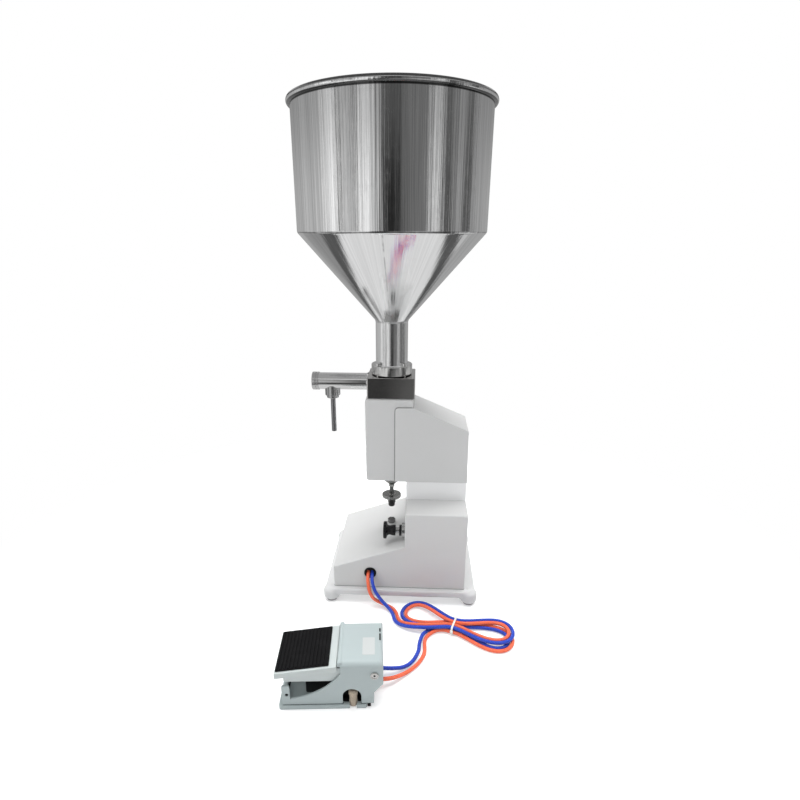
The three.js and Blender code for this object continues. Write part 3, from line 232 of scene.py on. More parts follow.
class Signal:
    """A node's output that takes part in shader maths."""

    def __init__(self, graph: Graph, socket: bpy.types.NodeSocket) -> None:
        """Wraps a socket."""
        self.graph = graph
        self.socket = socket

    def _maths(self, operation: str, first: Any, second: Any = 0.0) -> Signal:
        """Adds a Math node."""
        return self.graph.signal("ShaderNodeMath", {"operation": operation}, {0: first, 1: second})

    def __add__(self, other: Any) -> Signal:
        """Adds."""
        return self._maths("ADD", self, other)

    def __radd__(self, other: Any) -> Signal:
        """Adds to a number."""
        return self._maths("ADD", other, self)

    def __sub__(self, other: Any) -> Signal:
        """Subtracts."""
        return self._maths("SUBTRACT", self, other)

    def __rsub__(self, other: Any) -> Signal:
        """Subtracts from a number."""
        return self._maths("SUBTRACT", other, self)

    def __mul__(self, other: Any) -> Signal:
        """Multiplies."""
        return self._maths("MULTIPLY", self, other)

    def __rmul__(self, other: Any) -> Signal:
        """Multiplies a number."""
        return self._maths("MULTIPLY", other, self)

    def __truediv__(self, other: Any) -> Signal:
        """Divides."""
        return self._maths("DIVIDE", self, other)

    def __rtruediv__(self, other: Any) -> Signal:
        """Divides a number."""
        return self._maths("DIVIDE", other, self)

    def __gt__(self, other: Any) -> Signal:
        """Gives 1 where this is greater."""
        return self._maths("GREATER_THAN", self, other)

    def __lt__(self, other: Any) -> Signal:
        """Gives 1 where this is smaller."""
        return self._maths("LESS_THAN", self, other)

    def __abs__(self) -> Signal:
        """Gives the size without its sign."""
        return self._maths("ABSOLUTE", self)

    def held(self) -> Signal:
        """Holds the value between 0 and 1."""
        return self._maths("MINIMUM", self._maths("MAXIMUM", self, 0.0), 1.0)

    def raised(self, low: float, high: float) -> Signal:
        """Runs smoothly from 0 at one value to 1 at another."""
        inputs = {"Value": self, "From Min": low, "From Max": high}
        return self.graph.signal("ShaderNodeMapRange", {"interpolation_type": "SMOOTHSTEP"}, inputs)


def _rgba(colour: Any) -> Any:
    """Gives a plain colour its fourth number, and leaves a signal as it is."""
    return colour if isinstance(colour, Signal) else (*colour, 1.0)


def shade(colour: Colour, factor: float) -> Colour:
    """Makes a colour lighter or darker."""
    return tuple(min(1.0, part * factor) for part in colour)


# Finishes


@dataclass(frozen=True)
class Finish:
    """What every finish has: a name, a slot of the record, a colour and a roughness."""

    name: str
    slot: Slot
    colour: Colour
    roughness: float

    def material(self) -> bpy.types.Material:
        """Builds the material."""
        made = bpy.data.materials.new(self.name)
        made.use_nodes = True
        made.diffuse_color = (*self.colour, 1.0)
        self.fill(Graph(made.node_tree))
        return made

    def fill(self, graph: Graph) -> None:
        """Fills the node tree of the material."""
        raise NotImplementedError


@dataclass(frozen=True)
class Paint(Finish):
    """Sprayed paint: a faint cloudiness, the fine ripple of its skin and a little dust."""

    peel: float = 0.0016
    relief: float = 0.00004
    cloud: float = 0.03
    coat: float = 0.25

    def fill(self, graph: Graph) -> None:
        """Fills the node tree."""
        place = graph.coordinates()
        cloud = graph.noise(place, 0.09, 4.0)
        speck = graph.noise(place, 0.0009, 1.0).raised(0.72, 0.8)
        dim, bright = shade(self.colour, 1.0 - self.cloud), shade(self.colour, 1.0 + self.cloud / 2)
        tone = graph.mixed(cloud, dim, bright)
        skin = graph.noise(place, self.peel, 2.0)
        graph.surface(
            {
                "Base Color": graph.mixed(speck * 0.12, tone, shade(self.colour, 0.7)),
                "Roughness": self.roughness + (cloud - 0.5) * 0.12,
                "Coat Weight": self.coat,
                "Coat Roughness": 0.18,
                "Normal": graph.bump(skin, self.relief),
            }
        )


@dataclass(frozen=True)
class CastPaint(Paint):
    """The coarser paint of a casting."""

    peel: float = 0.0026
    relief: float = 0.00011
    cloud: float = 0.07
    coat: float = 0.15


@dataclass(frozen=True)
class Metal(Finish):
    """Bare metal with the marks of polishing or turning."""

    lay: Lay = Lay.EVEN
    mark: float = 0.0012
    relief: float = 0.000012
    tone: float = 0.1

    def fill(self, graph: Graph) -> None:
        """Fills the node tree."""
        place = graph.coordinates()
        marks = graph.noise(graph.stretched(place, self.lay.value), self.mark, 3.0, 0.6)
        smear = graph.noise(place, 0.022, 3.0)
        colour = graph.mixed(marks, shade(self.colour, 1.0 - self.tone), shade(self.colour, 1.0 + self.tone))
        graph.surface(
            {
                "Base Color": colour,
                "Metallic": 1.0,
                "Roughness": self.roughness + (marks - 0.5) * 0.1 + (smear - 0.45) * 0.12,
                "Normal": graph.bump(marks, self.relief),
            }
        )


@dataclass(frozen=True)
class HopperSteel(Finish):
    """Thin sheet polished to a mirror, whose slight waves draw reflections out into upright streaks."""

    wave: float = 0.11
    depth: float = 0.0010
    twist: float = 0.06
    wall_top: float = 1026.0
    cone_top: float = 804.0

    def fill(self, graph: Graph) -> None:
        """Fills the node tree."""
        place = graph.coordinates()
        centred = graph.vector("ADD", place, tuple(HOPPER_AXIS * -MM))
        round_it = graph.vector("NORMALIZE", graph.vector("MULTIPLY", centred, (1.0, 1.0, 0.0)))
        rise = graph.vector("MULTIPLY", centred, (0.0, 0.0, self.twist))
        spot = graph.vector("ADD", round_it, rise)
        wave = graph.noise(spot, self.wave, 4.0, 0.55)
        fine = graph.noise(spot, 0.014, 4.0, 0.65)
        dull = graph.noise(graph.stretched(place, (1.0, 1.0, 2.5)), 0.035, 5.0, 0.7)
        grit = graph.noise(graph.stretched(place, (1.0, 1.0, 6.0)), 0.0011, 2.0)
        stain = graph.noise(spot, 0.05, 3.0, 0.6).raised(0.4, 0.66)
        height = graph.split(place)[2]
        cone = 1.0 - height.raised(self.cone_top * MM - 0.004, self.cone_top * MM - 0.002)
        streak = fine.raised(0.32, 0.68) * (1.0 - cone * 0.65) + cone * 0.4
        colour = graph.mixed(streak, shade(self.colour, 0.76), shade(self.colour, 1.04))
        colour = graph.mixed(stain * 0.3, colour, shade(self.colour, 0.62))
        # The rim's painted shade, the burnt weld and the seam darken the steel.
        rim_shade_and_welds = self.rim_shade_and_welds(graph, height, cone, round_it, dull)
        colour = graph.mixed(rim_shade_and_welds, colour, shade(self.colour, 0.07))
        graph.surface(
            {
                "Base Color": colour,
                "Metallic": 1.0,
                "Roughness": self.roughness + dull.raised(0.45, 0.75) * 0.1 + (fine - 0.5) * 0.07,
                "Normal": graph.bump((wave + fine * 0.16) * (1.0 - cone * 0.45) + grit * 0.006, self.depth),
            }
        )

    def rim_shade_and_welds(self, graph: Graph, height: Signal, cone: Signal, round_it: Signal, dull: Signal) -> Signal:
        """Paints shade under the rolled rim and on its crest, and marks the burnt weld below the wall and
        the cone's seam.

        Args:
            graph: the tree.
            height: the height above the floor.
            cone: 1 on the cone and the neck.
            round_it: the way out from the axis, 1 long.
            dull: a noise.

        Returns:
            How dark the steel is, from 0 to 1.
        """
        x, y, _ = graph.split(round_it)
        rim = self.wall_top * MM
        # under: painted shade, a dark band just below the rolled rim.
        under = height.raised(rim - 0.0085, rim - 0.0072) * (1.0 - height.raised(rim - 0.0042, rim - 0.0030))
        # crest: painted shade on the top of the rolled rim.
        crest = height.raised(rim + 0.0002, rim + 0.0012)
        weld = (1.0 - (abs(height - self.cone_top * MM) / 0.0016)).held() * dull.raised(0.3, 0.55)
        seam = (1.0 - abs(x + 0.04) / 0.012).held() * (0.0 > y) * cone * dull.raised(0.35, 0.6)
        return (under * 0.94 + crest * 0.92 + weld * 0.8 + seam * 0.5).held()


@dataclass(frozen=True)
class Moulding(Finish):
    """Rubber or plastic from a mould: a fine matt grain, dust and rubbed places."""

    grain: float = 0.0007
    relief: float = 0.00005
    rubbed: float = 0.15
    shine: float = 0.5

    def fill(self, graph: Graph) -> None:
        """Fills the node tree."""
        place = graph.coordinates()
        grain = graph.noise(place, self.grain, 2.0)
        wear = graph.noise(place, 0.03, 4.0, 0.6).raised(0.45, 0.75)
        graph.surface(
            {
                "Base Color": graph.mixed(wear * self.rubbed, self.colour, shade(self.colour, 2.2)),
                "Roughness": self.roughness - wear * 0.12 + (grain - 0.5) * 0.1,
                "Specular IOR Level": self.shine,
                "Normal": graph.bump(grain, self.relief),
            }
        )


@dataclass(frozen=True)
class HosePlastic(Finish):
    """Clear-skinned air hose: smooth, glossy and faintly uneven in colour."""

    glow: float = 0.12

    def fill(self, graph: Graph) -> None:
        """Fills the node tree."""
        place = graph.coordinates()
        cloud = graph.noise(place, 0.02, 3.0)
        scuff = graph.noise(place, 0.0022, 3.0, 0.7)
        graph.surface(
            {
                "Base Color": graph.mixed(cloud, shade(self.colour, 0.86), shade(self.colour, 1.1)),
                "Roughness": self.roughness + scuff.raised(0.5, 0.75) * 0.22,
                "Coat Weight": 0.35,
                "Coat Roughness": 0.1,
                "Subsurface Weight": self.glow,
                "Subsurface Radius": (0.004, 0.003, 0.003),
                "Normal": graph.bump(scuff, 0.00003),
            }
        )


@dataclass(frozen=True)
class Sintered(Finish):
    """Pressed grains of bronze, as in a silencer, with painted shade in the gaps between them."""

    ball: float = 0.0009

    def fill(self, graph: Graph) -> None:
        """Fills the node tree."""
        place = graph.coordinates()
        balls = graph.signal("ShaderNodeTexVoronoi", inputs={"Vector": place, "Scale": 1.0 / self.ball})
        cloud = graph.noise(place, 0.006, 3.0)
        pore_shade = balls.raised(0.25, 0.75)
        tone = graph.mixed(cloud, shade(self.colour, 0.85), shade(self.colour, 1.12))
        graph.surface(
            {
                # The gaps between the grains are painted darker as shade.
                "Base Color": graph.mixed(pore_shade * 0.6, tone, shade(self.colour, 0.45)),
                "Metallic": 0.25,
                "Roughness": self.roughness,
                "Normal": graph.bump(1.0 - balls, 0.0003),
            }
        )


WHITE = Paint("white_enamel", Slot.WHITE_PAINT, (0.63, 0.63, 0.625), 0.36)
# The column's enamel is paler than the housing's, and is raised further to offset the housing's shade on it:
# partly painted light.
COLUMN_WHITE_WITH_PAINTED_LIGHT = Paint("column_enamel_with_painted_light", Slot.WHITE_PAINT, (0.92, 0.92, 0.92), 0.3)
PLINTH_WHITE = Paint("plinth_enamel", Slot.WHITE_PAINT, (0.66, 0.66, 0.66), 0.36)
CAST_GREEN = CastPaint("foot_valve_enamel", Slot.CAST_PAINT, (0.415, 0.475, 0.478), 0.42)
TREADLE_GREEN = CastPaint("treadle_enamel", Slot.CAST_PAINT, (0.53, 0.575, 0.57), 0.42)
LABEL = Paint("bare_label", Slot.CAST_PAINT, (0.52, 0.54, 0.535), 0.5, relief=0.00001, coat=0.0)
HOPPER_STEEL = HopperSteel("hopper_steel", Slot.POLISHED, (0.96, 0.965, 0.97), 0.07)
BLOCK_STEEL = Metal("block_steel", Slot.POLISHED, (0.6, 0.59, 0.58), 0.1, mark=0.004, relief=0.00002)
FLANGE_STEEL = Metal("flange_steel", Slot.POLISHED, (0.7, 0.7, 0.69), 0.13, lay=Lay.RINGS_ROUND_Z)
SCREW_STEEL = Metal("screw_steel", Slot.STEEL, (0.85, 0.85, 0.84), 0.16, lay=Lay.RINGS_ROUND_Z)
TUBE_STEEL = Metal("outlet_steel", Slot.POLISHED, (0.74, 0.74, 0.74), 0.12, lay=Lay.ALONG_X)
NUT_STEEL = Metal("union_steel", Slot.POLISHED, (0.5, 0.5, 0.5), 0.2, lay=Lay.RINGS_ROUND_Z)
SPOUT_STEEL = Metal("spout_steel", Slot.POLISHED, (0.32, 0.32, 0.33), 0.28, lay=Lay.RINGS_ROUND_Z)
TURNED_STEEL = Metal("turned_steel", Slot.STEEL, (0.42, 0.42, 0.41), 0.2, lay=Lay.RINGS_ROUND_Z)
DARK_STEEL = Metal("dark_steel", Slot.STEEL, (0.2, 0.2, 0.2), 0.24, lay=Lay.RINGS_ROUND_Z)
BLACKENED_STEEL = Metal("blackened_steel", Slot.STEEL, (0.07, 0.07, 0.07), 0.3, lay=Lay.RINGS_ROUND_Z)
TURNED_ALONG_X = Metal("turned_steel_along_x", Slot.STEEL, (0.6, 0.6, 0.6), 0.22, lay=Lay.RINGS_ROUND_X)
INNER_STEEL = Metal("inner_steel", Slot.STEEL, (0.6, 0.6, 0.6), 0.3)
SPRING_STEEL = Metal("spring_steel", Slot.STEEL, (0.5, 0.49, 0.47), 0.3)
ALUMINIUM = Metal("mill_aluminium", Slot.ALUMINIUM, (0.72, 0.73, 0.74), 0.36, mark=0.003, tone=0.05)
BLACK_ANODISED = Metal("black_anodised", Slot.ALUMINIUM, (0.09, 0.09, 0.092), 0.42, mark=0.003, tone=0.3)
NICKEL = Metal("nickel_plate", Slot.NICKEL, (0.74, 0.73, 0.71), 0.24, lay=Lay.RINGS_ROUND_X)
RUBBER = Moulding("black_rubber", Slot.RUBBER, (0.006, 0.006, 0.0065), 0.66, shine=0.22)
SEAL_GREY = Moulding("grey_seal", Slot.RUBBER, (0.16, 0.16, 0.16), 0.6)
PAD_RUBBER = Moulding("grey_rubber", Slot.RUBBER, (0.3, 0.3, 0.3), 0.6, rubbed=0.1)
SEAL = Moulding("seal_rubber", Slot.SEAL, (0.3, 0.05, 0.03), 0.6)
KNOB_PLASTIC = Moulding(
    "knob_plastic", Slot.BLACK_PLASTIC, (0.008, 0.008, 0.009), 0.32, rubbed=0.08, shine=0.3
)
BRONZE = Sintered("sintered_bronze", Slot.BRONZE, (0.62, 0.52, 0.41), 0.75)
BLUE_HOSE = HosePlastic("blue_air_hose", Slot.BLUE_HOSE, (0.02, 0.065, 0.52), 0.24)
ORANGE_HOSE = HosePlastic("orange_air_hose", Slot.ORANGE_HOSE, (0.92, 0.16, 0.075), 0.24)
NYLON = Moulding("tie_nylon", Slot.NYLON, (0.82, 0.81, 0.77), 0.4, relief=0.00001, rubbed=0.0)


class Palette:
    """Builds each finish's material once."""

    def __init__(self) -> None:
        """Starts empty."""
        self._made: dict[Finish, bpy.types.Material] = {}

    def material(self, finish: Finish) -> bpy.types.Material:
        """Gives a finish's material.

        Args:
            finish: one of the finishes above.

        Returns:
            The material, the same one each time.
        """
        if finish not in self._made:
            self._made[finish] = finish.material()
        return self._made[finish]


# Shapes


def rounded_outline(corners: Iterable[Sequence[float]], steps: int = 5, closed: bool = True) -> list[Point]:
    """Rounds the corners of an outline.

    Args:
        corners: points of two numbers, with a third for a corner's radius.
        steps: points of each arc beyond its first.
        closed: whether the last point joins the first.

    Returns:
        The outline's points.
    """
    given = [tuple(corner) for corner in corners]
    points: list[Point] = []
    for i, corner in enumerate(given):
        here = Vector(corner[:2])
        radius = corner[2] if len(corner) > 2 else 0.0
        if radius <= 0.0 or (not closed and i in (0, len(given) - 1)):
            points.append((here.x, here.y))
            continue
        back = Vector(given[i - 1][:2]) - here
        ahead = Vector(given[(i + 1) % len(given)][:2]) - here
        half = back.angle(ahead) / 2
        reach = min(radius / math.tan(half), back.length * 0.49, ahead.length * 0.49)
        radius = reach * math.tan(half)
        centre = here + (back.normalized() + ahead.normalized()).normalized() * (radius / math.sin(half))
        first = here + back.normalized() * reach - centre
        sweep = first.angle_signed(here + ahead.normalized() * reach - centre)
        for step in range(steps + 1):
            turned = Matrix.Rotation(-sweep * step / steps, 2) @ first
            points.append((centre.x + turned.x, centre.y + turned.y))
    return points


def rounded_box(x: Point, y: Point, radius: float, steps: int = 5) -> list[Point]:
    """Gives the outline of a rectangle with round corners."""
    corners = [(x[0], y[0]), (x[1], y[0]), (x[1], y[1]), (x[0], y[1])]
    return rounded_outline([(*corner, radius) for corner in corners], steps)


def smooth_line(points: Sequence[Vector], steps: int) -> list[Vector]:
    """Draws a smooth line through points, evenly eased so that it has no loops.

    Args:
        points: the points, as vectors.
        steps: pieces of each stretch between two points.

    Returns:
        The points of the smooth line.
    """
    ends = [points[0] * 2 - points[1], *points, points[-1] * 2 - points[-2]]
    line: list[Vector] = []
    for a, b, c, d in zip(ends, ends[1:], ends[2:], ends[3:]):
        ab, bc, cd = (math.sqrt((q - p).length) for p, q in ((a, b), (b, c), (c, d)))
        start = ((b - a) / ab - (c - a) / (ab + bc) + (c - b) / bc) * bc
        end = ((c - b) / bc - (d - b) / (bc + cd) + (d - c) / cd) * bc
        for step in range(steps):
            t = step / steps
            line.append(
                b * (2 * t**3 - 3 * t**2 + 1)
                + start * (t**3 - 2 * t**2 + t)
                + c * (3 * t**2 - 2 * t**3)
                + end * (t**3 - t**2)
            )
    return [*line, points[-1]]


def round_curve(name: str, line: Sequence[Vector], radius: float, resolution: int) -> bpy.types.Curve:
    """Makes a round curve with closed ends.

    Args:
        name: its name.
        line: the points of its middle.
        radius: its radius.
        resolution: how finely it is rounded.

    Returns:
        The curve.
    """
    curve = bpy.data.curves.new(name, "CURVE")
    curve.dimensions = "3D"
    curve.bevel_depth = radius
    curve.bevel_resolution = resolution
    curve.use_fill_caps = True
    spline = curve.splines.new("POLY")
    spline.points.add(len(line) - 1)
    for point, place in zip(spline.points, line):
        point.co = (*place, 1.0)
    spline.use_smooth = True
    return curve


class Shape:
    """A mesh in the making, in millimetres."""

    def __init__(self) -> None:
        """Starts empty."""
        self.bm = bmesh.new()

    @classmethod
    def turned(cls, profile: Sequence[Point], steps: int = 96) -> Shape:
        """Spins a profile round Z.

        Args:
            profile: points of radius and height. It closes itself unless it ends on the axis.
            steps: how many flats it has round.

        Returns:
            The turned shape.
        """
        shape = cls()
        bm = shape.bm
        verts = [bm.verts.new((radius, 0.0, height)) for radius, height in profile]
        edges = [bm.edges.new(pair) for pair in zip(verts, verts[1:])]
        if profile[0][0] > 0.0 or profile[-1][0] > 0.0:
            edges.append(bm.edges.new((verts[-1], verts[0])))
        bmesh.ops.spin(
            bm, geom=[*verts, *edges], axis=(0, 0, 1), angle=2 * math.pi, steps=steps, use_merge=True
        )
        return shape.mended()

    @classmethod
    def lathed(cls, corners: Iterable[Sequence[float]], arc: int, steps: int) -> Shape:
        """Turns corners, each with its rounding, from the axis out and back to it."""
        return cls.turned(rounded_outline(corners, arc, closed=False), steps)

    @classmethod
    def rod(cls, radius: float, low: float, high: float, steps: int) -> Shape:
        """Turns a plain round or many-sided rod, for cutting or joining."""
        return cls.turned([(0.0, low), (radius, low), (radius, high), (0.0, high)], steps)

    @classmethod
    def drawn(cls, outline: Sequence[Point], low: float, high: float, axis: Axis = Axis.Z) -> Shape:
        """Draws a flat outline out into a solid.

        Args:
            outline: its points.
            low: where the solid starts.
            high: where it ends.
            axis: the way that it is drawn out.

        Returns:
            The solid.
        """
        shape = cls()
        bm = shape.bm
        face = bm.faces.new([bm.verts.new((x, y, low)) for x, y in outline])
        made = bmesh.ops.extrude_face_region(bm, geom=[face])
        raised = [item for item in made["geom"] if isinstance(item, bmesh.types.BMVert)]
        bmesh.ops.translate(bm, verts=raised, vec=(0.0, 0.0, high - low))
        bmesh.ops.holes_fill(bm, edges=[edge for edge in bm.edges if edge.is_boundary])
        bmesh.ops.transform(bm, matrix=axis.matrix(), verts=bm.verts)
        return shape.mended()

    @classmethod
    def sided(cls, corners: Iterable[Sequence[float]], arc: int, half: float) -> Shape:
        """Draws a side view, with a rounding for each corner, out to both sides of the middle."""
        return cls.drawn(rounded_outline(corners, arc), -half, half, Axis.Y)

    @classmethod
    def box(cls, x: Point, y: Point, z: Point) -> Shape:
        """Makes a plain block, for cutting or bevelling."""
        return cls.drawn([(x[0], y[0]), (x[1], y[0]), (x[1], y[1]), (x[0], y[1])], *z)

    @classmethod
    def wire(cls, line: Sequence[Vector], radius: float) -> Shape:
        """Makes a round wire along a line.

        Args:
            line: the points of its middle.
            radius: its radius.

        Returns:
            The wire.
        """
        curve = round_curve("wire", line, radius, 3)
        holder = bpy.data.objects.new("wire", curve)
        mesh = bpy.data.meshes.new_from_object(holder)
        shape = cls()
        shape.bm.from_mesh(mesh)
        bpy.data.objects.remove(holder)
        bpy.data.curves.remove(curve)
        bpy.data.meshes.remove(mesh)
        return shape.mended()

    @classmethod
    def coil(cls, radius: float, wire: float, turns: int, low: float, top: float) -> Shape:
        """Winds a compression spring about Z.

        Args:
            radius: the radius of the wire's middle.
            wire: the wire's own radius.
            turns: how many turns it has.
            low: its foot.
            top: its head.

        Returns:
            The spring.
        """
        around, rise = 16, top - low - 2 * wire
        count = turns * around
        line = [
            Vector(
                (
                    radius * math.cos(2 * math.pi * i / around),
                    radius * math.sin(2 * math.pi * i / around),
                    low + wire + rise * i / count,
                )
            )
            for i in range(count + 1)
        ]
        return cls.wire(line, wire)

    def mended(self) -> Shape:
        """Merges doubles and turns every face outwards."""
        bmesh.ops.remove_doubles(self.bm, verts=self.bm.verts, dist=1e-4)
        bmesh.ops.recalc_face_normals(self.bm, faces=self.bm.faces)
        return self

    def moved(self, x: float = 0.0, y: float = 0.0, z: float = 0.0) -> Shape:
        """Moves the shape."""
        bmesh.ops.translate(self.bm, verts=self.bm.verts, vec=(x, y, z))
        return self

    def spun(self, degrees: float, axis: str, centre: Sequence[float] = (0.0, 0.0, 0.0)) -> Shape:
        """Turns the shape.

        Args:
            degrees: how far, by the right-hand rule.
            axis: X, Y or Z.
            centre: the point that stays.

        Returns:
            The shape itself.
        """
        matrix = Matrix.Rotation(math.radians(degrees), 3, axis)
        bmesh.ops.rotate(self.bm, verts=self.bm.verts, cent=centre, matrix=matrix)
        return self

    def along_x(self) -> Shape:
        """Lays a turned shape along X, its heights towards the rear."""
        return self.spun(90, "Y")

    def along_y(self) -> Shape:
        """Lays a turned shape along Y, its heights towards the far side."""
        return self.spun(-90, "X")

    def eased(self, width: float, segments: int = 3, angle: float = 40.0) -> Shape:
        """Rounds every sharp edge.

        Args:
            width: the width of the rounding.
            segments: its faces across.
            angle: how sharp an edge is to be rounded, in degrees.

        Returns:
            The shape itself.
        """
        self.bm.normal_update()
        limit = math.radians(angle)
        edges = [edge for edge in self.bm.edges if edge.is_manifold and edge.calc_face_angle() > limit]
        bmesh.ops.bevel(
            self.bm,
            geom=edges,
            offset=width,
            offset_type="OFFSET",
            segments=segments,
            profile=0.5,
            affect="EDGES",
            clamp_overlap=True,
            material=-1,
        )
        return self

    def plus(self, *others: Shape) -> Shape:
        """Puts other shapes beside this one, in the same mesh."""
        for other in others:
            mesh = bpy.data.meshes.new("beside")
            other.bm.to_mesh(mesh)
            self.bm.from_mesh(mesh)
            bpy.data.meshes.remove(mesh)
        return self

    def copied(self) -> Shape:
        """Gives a copy."""
        return Shape().plus(self)

    def ringed(self, count: int, radius: float) -> Shape:
        """Gives copies that stand in a ring round Z.

        Args:
            count: how many.
            radius: the ring's radius.

        Returns:
            The copies in one mesh.
        """
        ring = Shape()
        for i in range(count):
            angle = 2 * math.pi * i / count
            ring.plus(self.copied().moved(radius * math.cos(angle), radius * math.sin(angle)))
        return ring

    def cut(self, *others: Shape) -> Shape:
        """Cuts other shapes out of this one."""
        for other in others:
            self._combined(other, "DIFFERENCE")
        return self

    def joined(self, *others: Shape) -> Shape:
        """Welds other shapes to this one."""
        for other in others:
            self._combined(other, "UNION")
        return self

    def kept_within(self, other: Shape) -> Shape:
        """Keeps only what lies inside another shape."""
        return self._combined(other, "INTERSECT")

    def recast(self, voxel: float, passes: int) -> Shape:
        """Melts overlapping bodies into one smooth casting.

        Args:
            voxel: the size of its faces.
            passes: how often it is smoothed.

        Returns:
            The shape itself.
        """
        settings = {"mode": "VOXEL", "voxel_size": voxel, "adaptivity": 0.0}
        self._through("REMESH", settings)
        for _ in range(passes):
            bmesh.ops.smooth_vert(
                self.bm, verts=self.bm.verts, factor=0.5, use_axis_x=True, use_axis_y=True, use_axis_z=True
            )
        return self.mended()

    def _combined(self, other: Shape, operation: str) -> Shape:
        """Runs a Boolean modifier between two shapes.

        Args:
            other: the second shape.
            operation: what is done.

        Returns:
            The shape itself.
        """
        tool = other.as_object()
        self._through("BOOLEAN", {"operation": operation, "solver": "EXACT", "object": tool})
        mesh = tool.data
        bpy.data.objects.remove(tool)
        bpy.data.meshes.remove(mesh)
        return self.mended()

    def _through(self, kind: str, settings: dict[str, Any]) -> None:
        """Replaces the mesh by what a modifier makes of it.

        Args:
            kind: the modifier's type.
            settings: its properties.
        """
        holder = self.as_object()
        modifier = holder.modifiers.new(kind.lower(), kind)
        for key, value in settings.items():
            setattr(modifier, key, value)
        graph = bpy.context.evaluated_depsgraph_get()
        result = bpy.data.meshes.new_from_object(holder.evaluated_get(graph))
        self.bm.clear()
        self.bm.from_mesh(result)
        mesh = holder.data
        bpy.data.objects.remove(holder)
        bpy.data.meshes.remove(mesh)
        bpy.data.meshes.remove(result)

    def as_object(self) -> bpy.types.Object:
        """Puts a copy of the mesh in the scene as an object."""
        mesh = bpy.data.meshes.new("shape")
        self.bm.to_mesh(mesh)
        holder = bpy.data.objects.new("shape", mesh)
        bpy.context.scene.collection.objects.link(holder)
        return holder


# Sub-assemblies


@dataclass
class Assembly:
    """What every sub-assembly has: its place in the row's metres and the palette."""

    palette: Palette
    place: Matrix = field(default_factory=lambda: MACHINE.copy())

    def piece(
        self,
        name: str,
        shape: Shape,
        finish: Finish,
        body: str = "machine",
        replaces: Sequence[str] = (),
        edge: float = 0.0,
        crease: float = 35.0,
    ) -> bpy.types.Object:
        """Turns a shape into a finished piece.

        Args:
            name: the piece's name.
            shape: its mesh, in millimetres.
            finish: its finish.
            body: the CAD body that it moves with.
            replaces: the CAD nodes that it stands for.
            edge: the width of a rounding on its sharp edges, or 0.
            crease: the angle in degrees past which an edge stays sharp to the eye.

        Returns:
            The piece.
        """
        bmesh.ops.transform(shape.bm, matrix=self.place, verts=shape.bm.verts)
        bmesh.ops.recalc_face_normals(shape.bm, faces=shape.bm.faces)
        mesh = bpy.data.meshes.new(name)
        shape.bm.to_mesh(mesh)
        shape.bm.free()
        mesh.shade_smooth()
        mesh.materials.append(self.palette.material(finish))
        made = bpy.data.objects.new(name, mesh)
        bpy.context.scene.collection.objects.link(made)
        if edge > 0.0:
            self._round_edges(made, edge, crease)
        else:
            mesh.set_sharp_from_angle(angle=math.radians(crease))
            even = made.modifiers.new("even_shading", "WEIGHTED_NORMAL")
            even.keep_sharp = True
        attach(made, body)
        if replaces:
            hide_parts(*replaces)
        LOG.info("%s: %d faces on %s", name, len(mesh.polygons), body)
        return made

    @staticmethod
    def _round_edges(made: bpy.types.Object, edge: float, crease: float) -> None:
        """Rounds a piece's sharp edges with a modifier.

        Args:
            made: the piece.
            edge: the rounding's width in millimetres.
            crease: how sharp an edge is to be rounded, in degrees.
        """
        bevel = made.modifiers.new("edges", "BEVEL")
        bevel.width = edge * MM
        bevel.segments = 3
        bevel.limit_method = "ANGLE"
        bevel.angle_limit = math.radians(crease)
        bevel.harden_normals = True
        bevel.use_clamp_overlap = True

    def build(self) -> None:
        """Builds every piece of the sub-assembly."""
        raise NotImplementedError


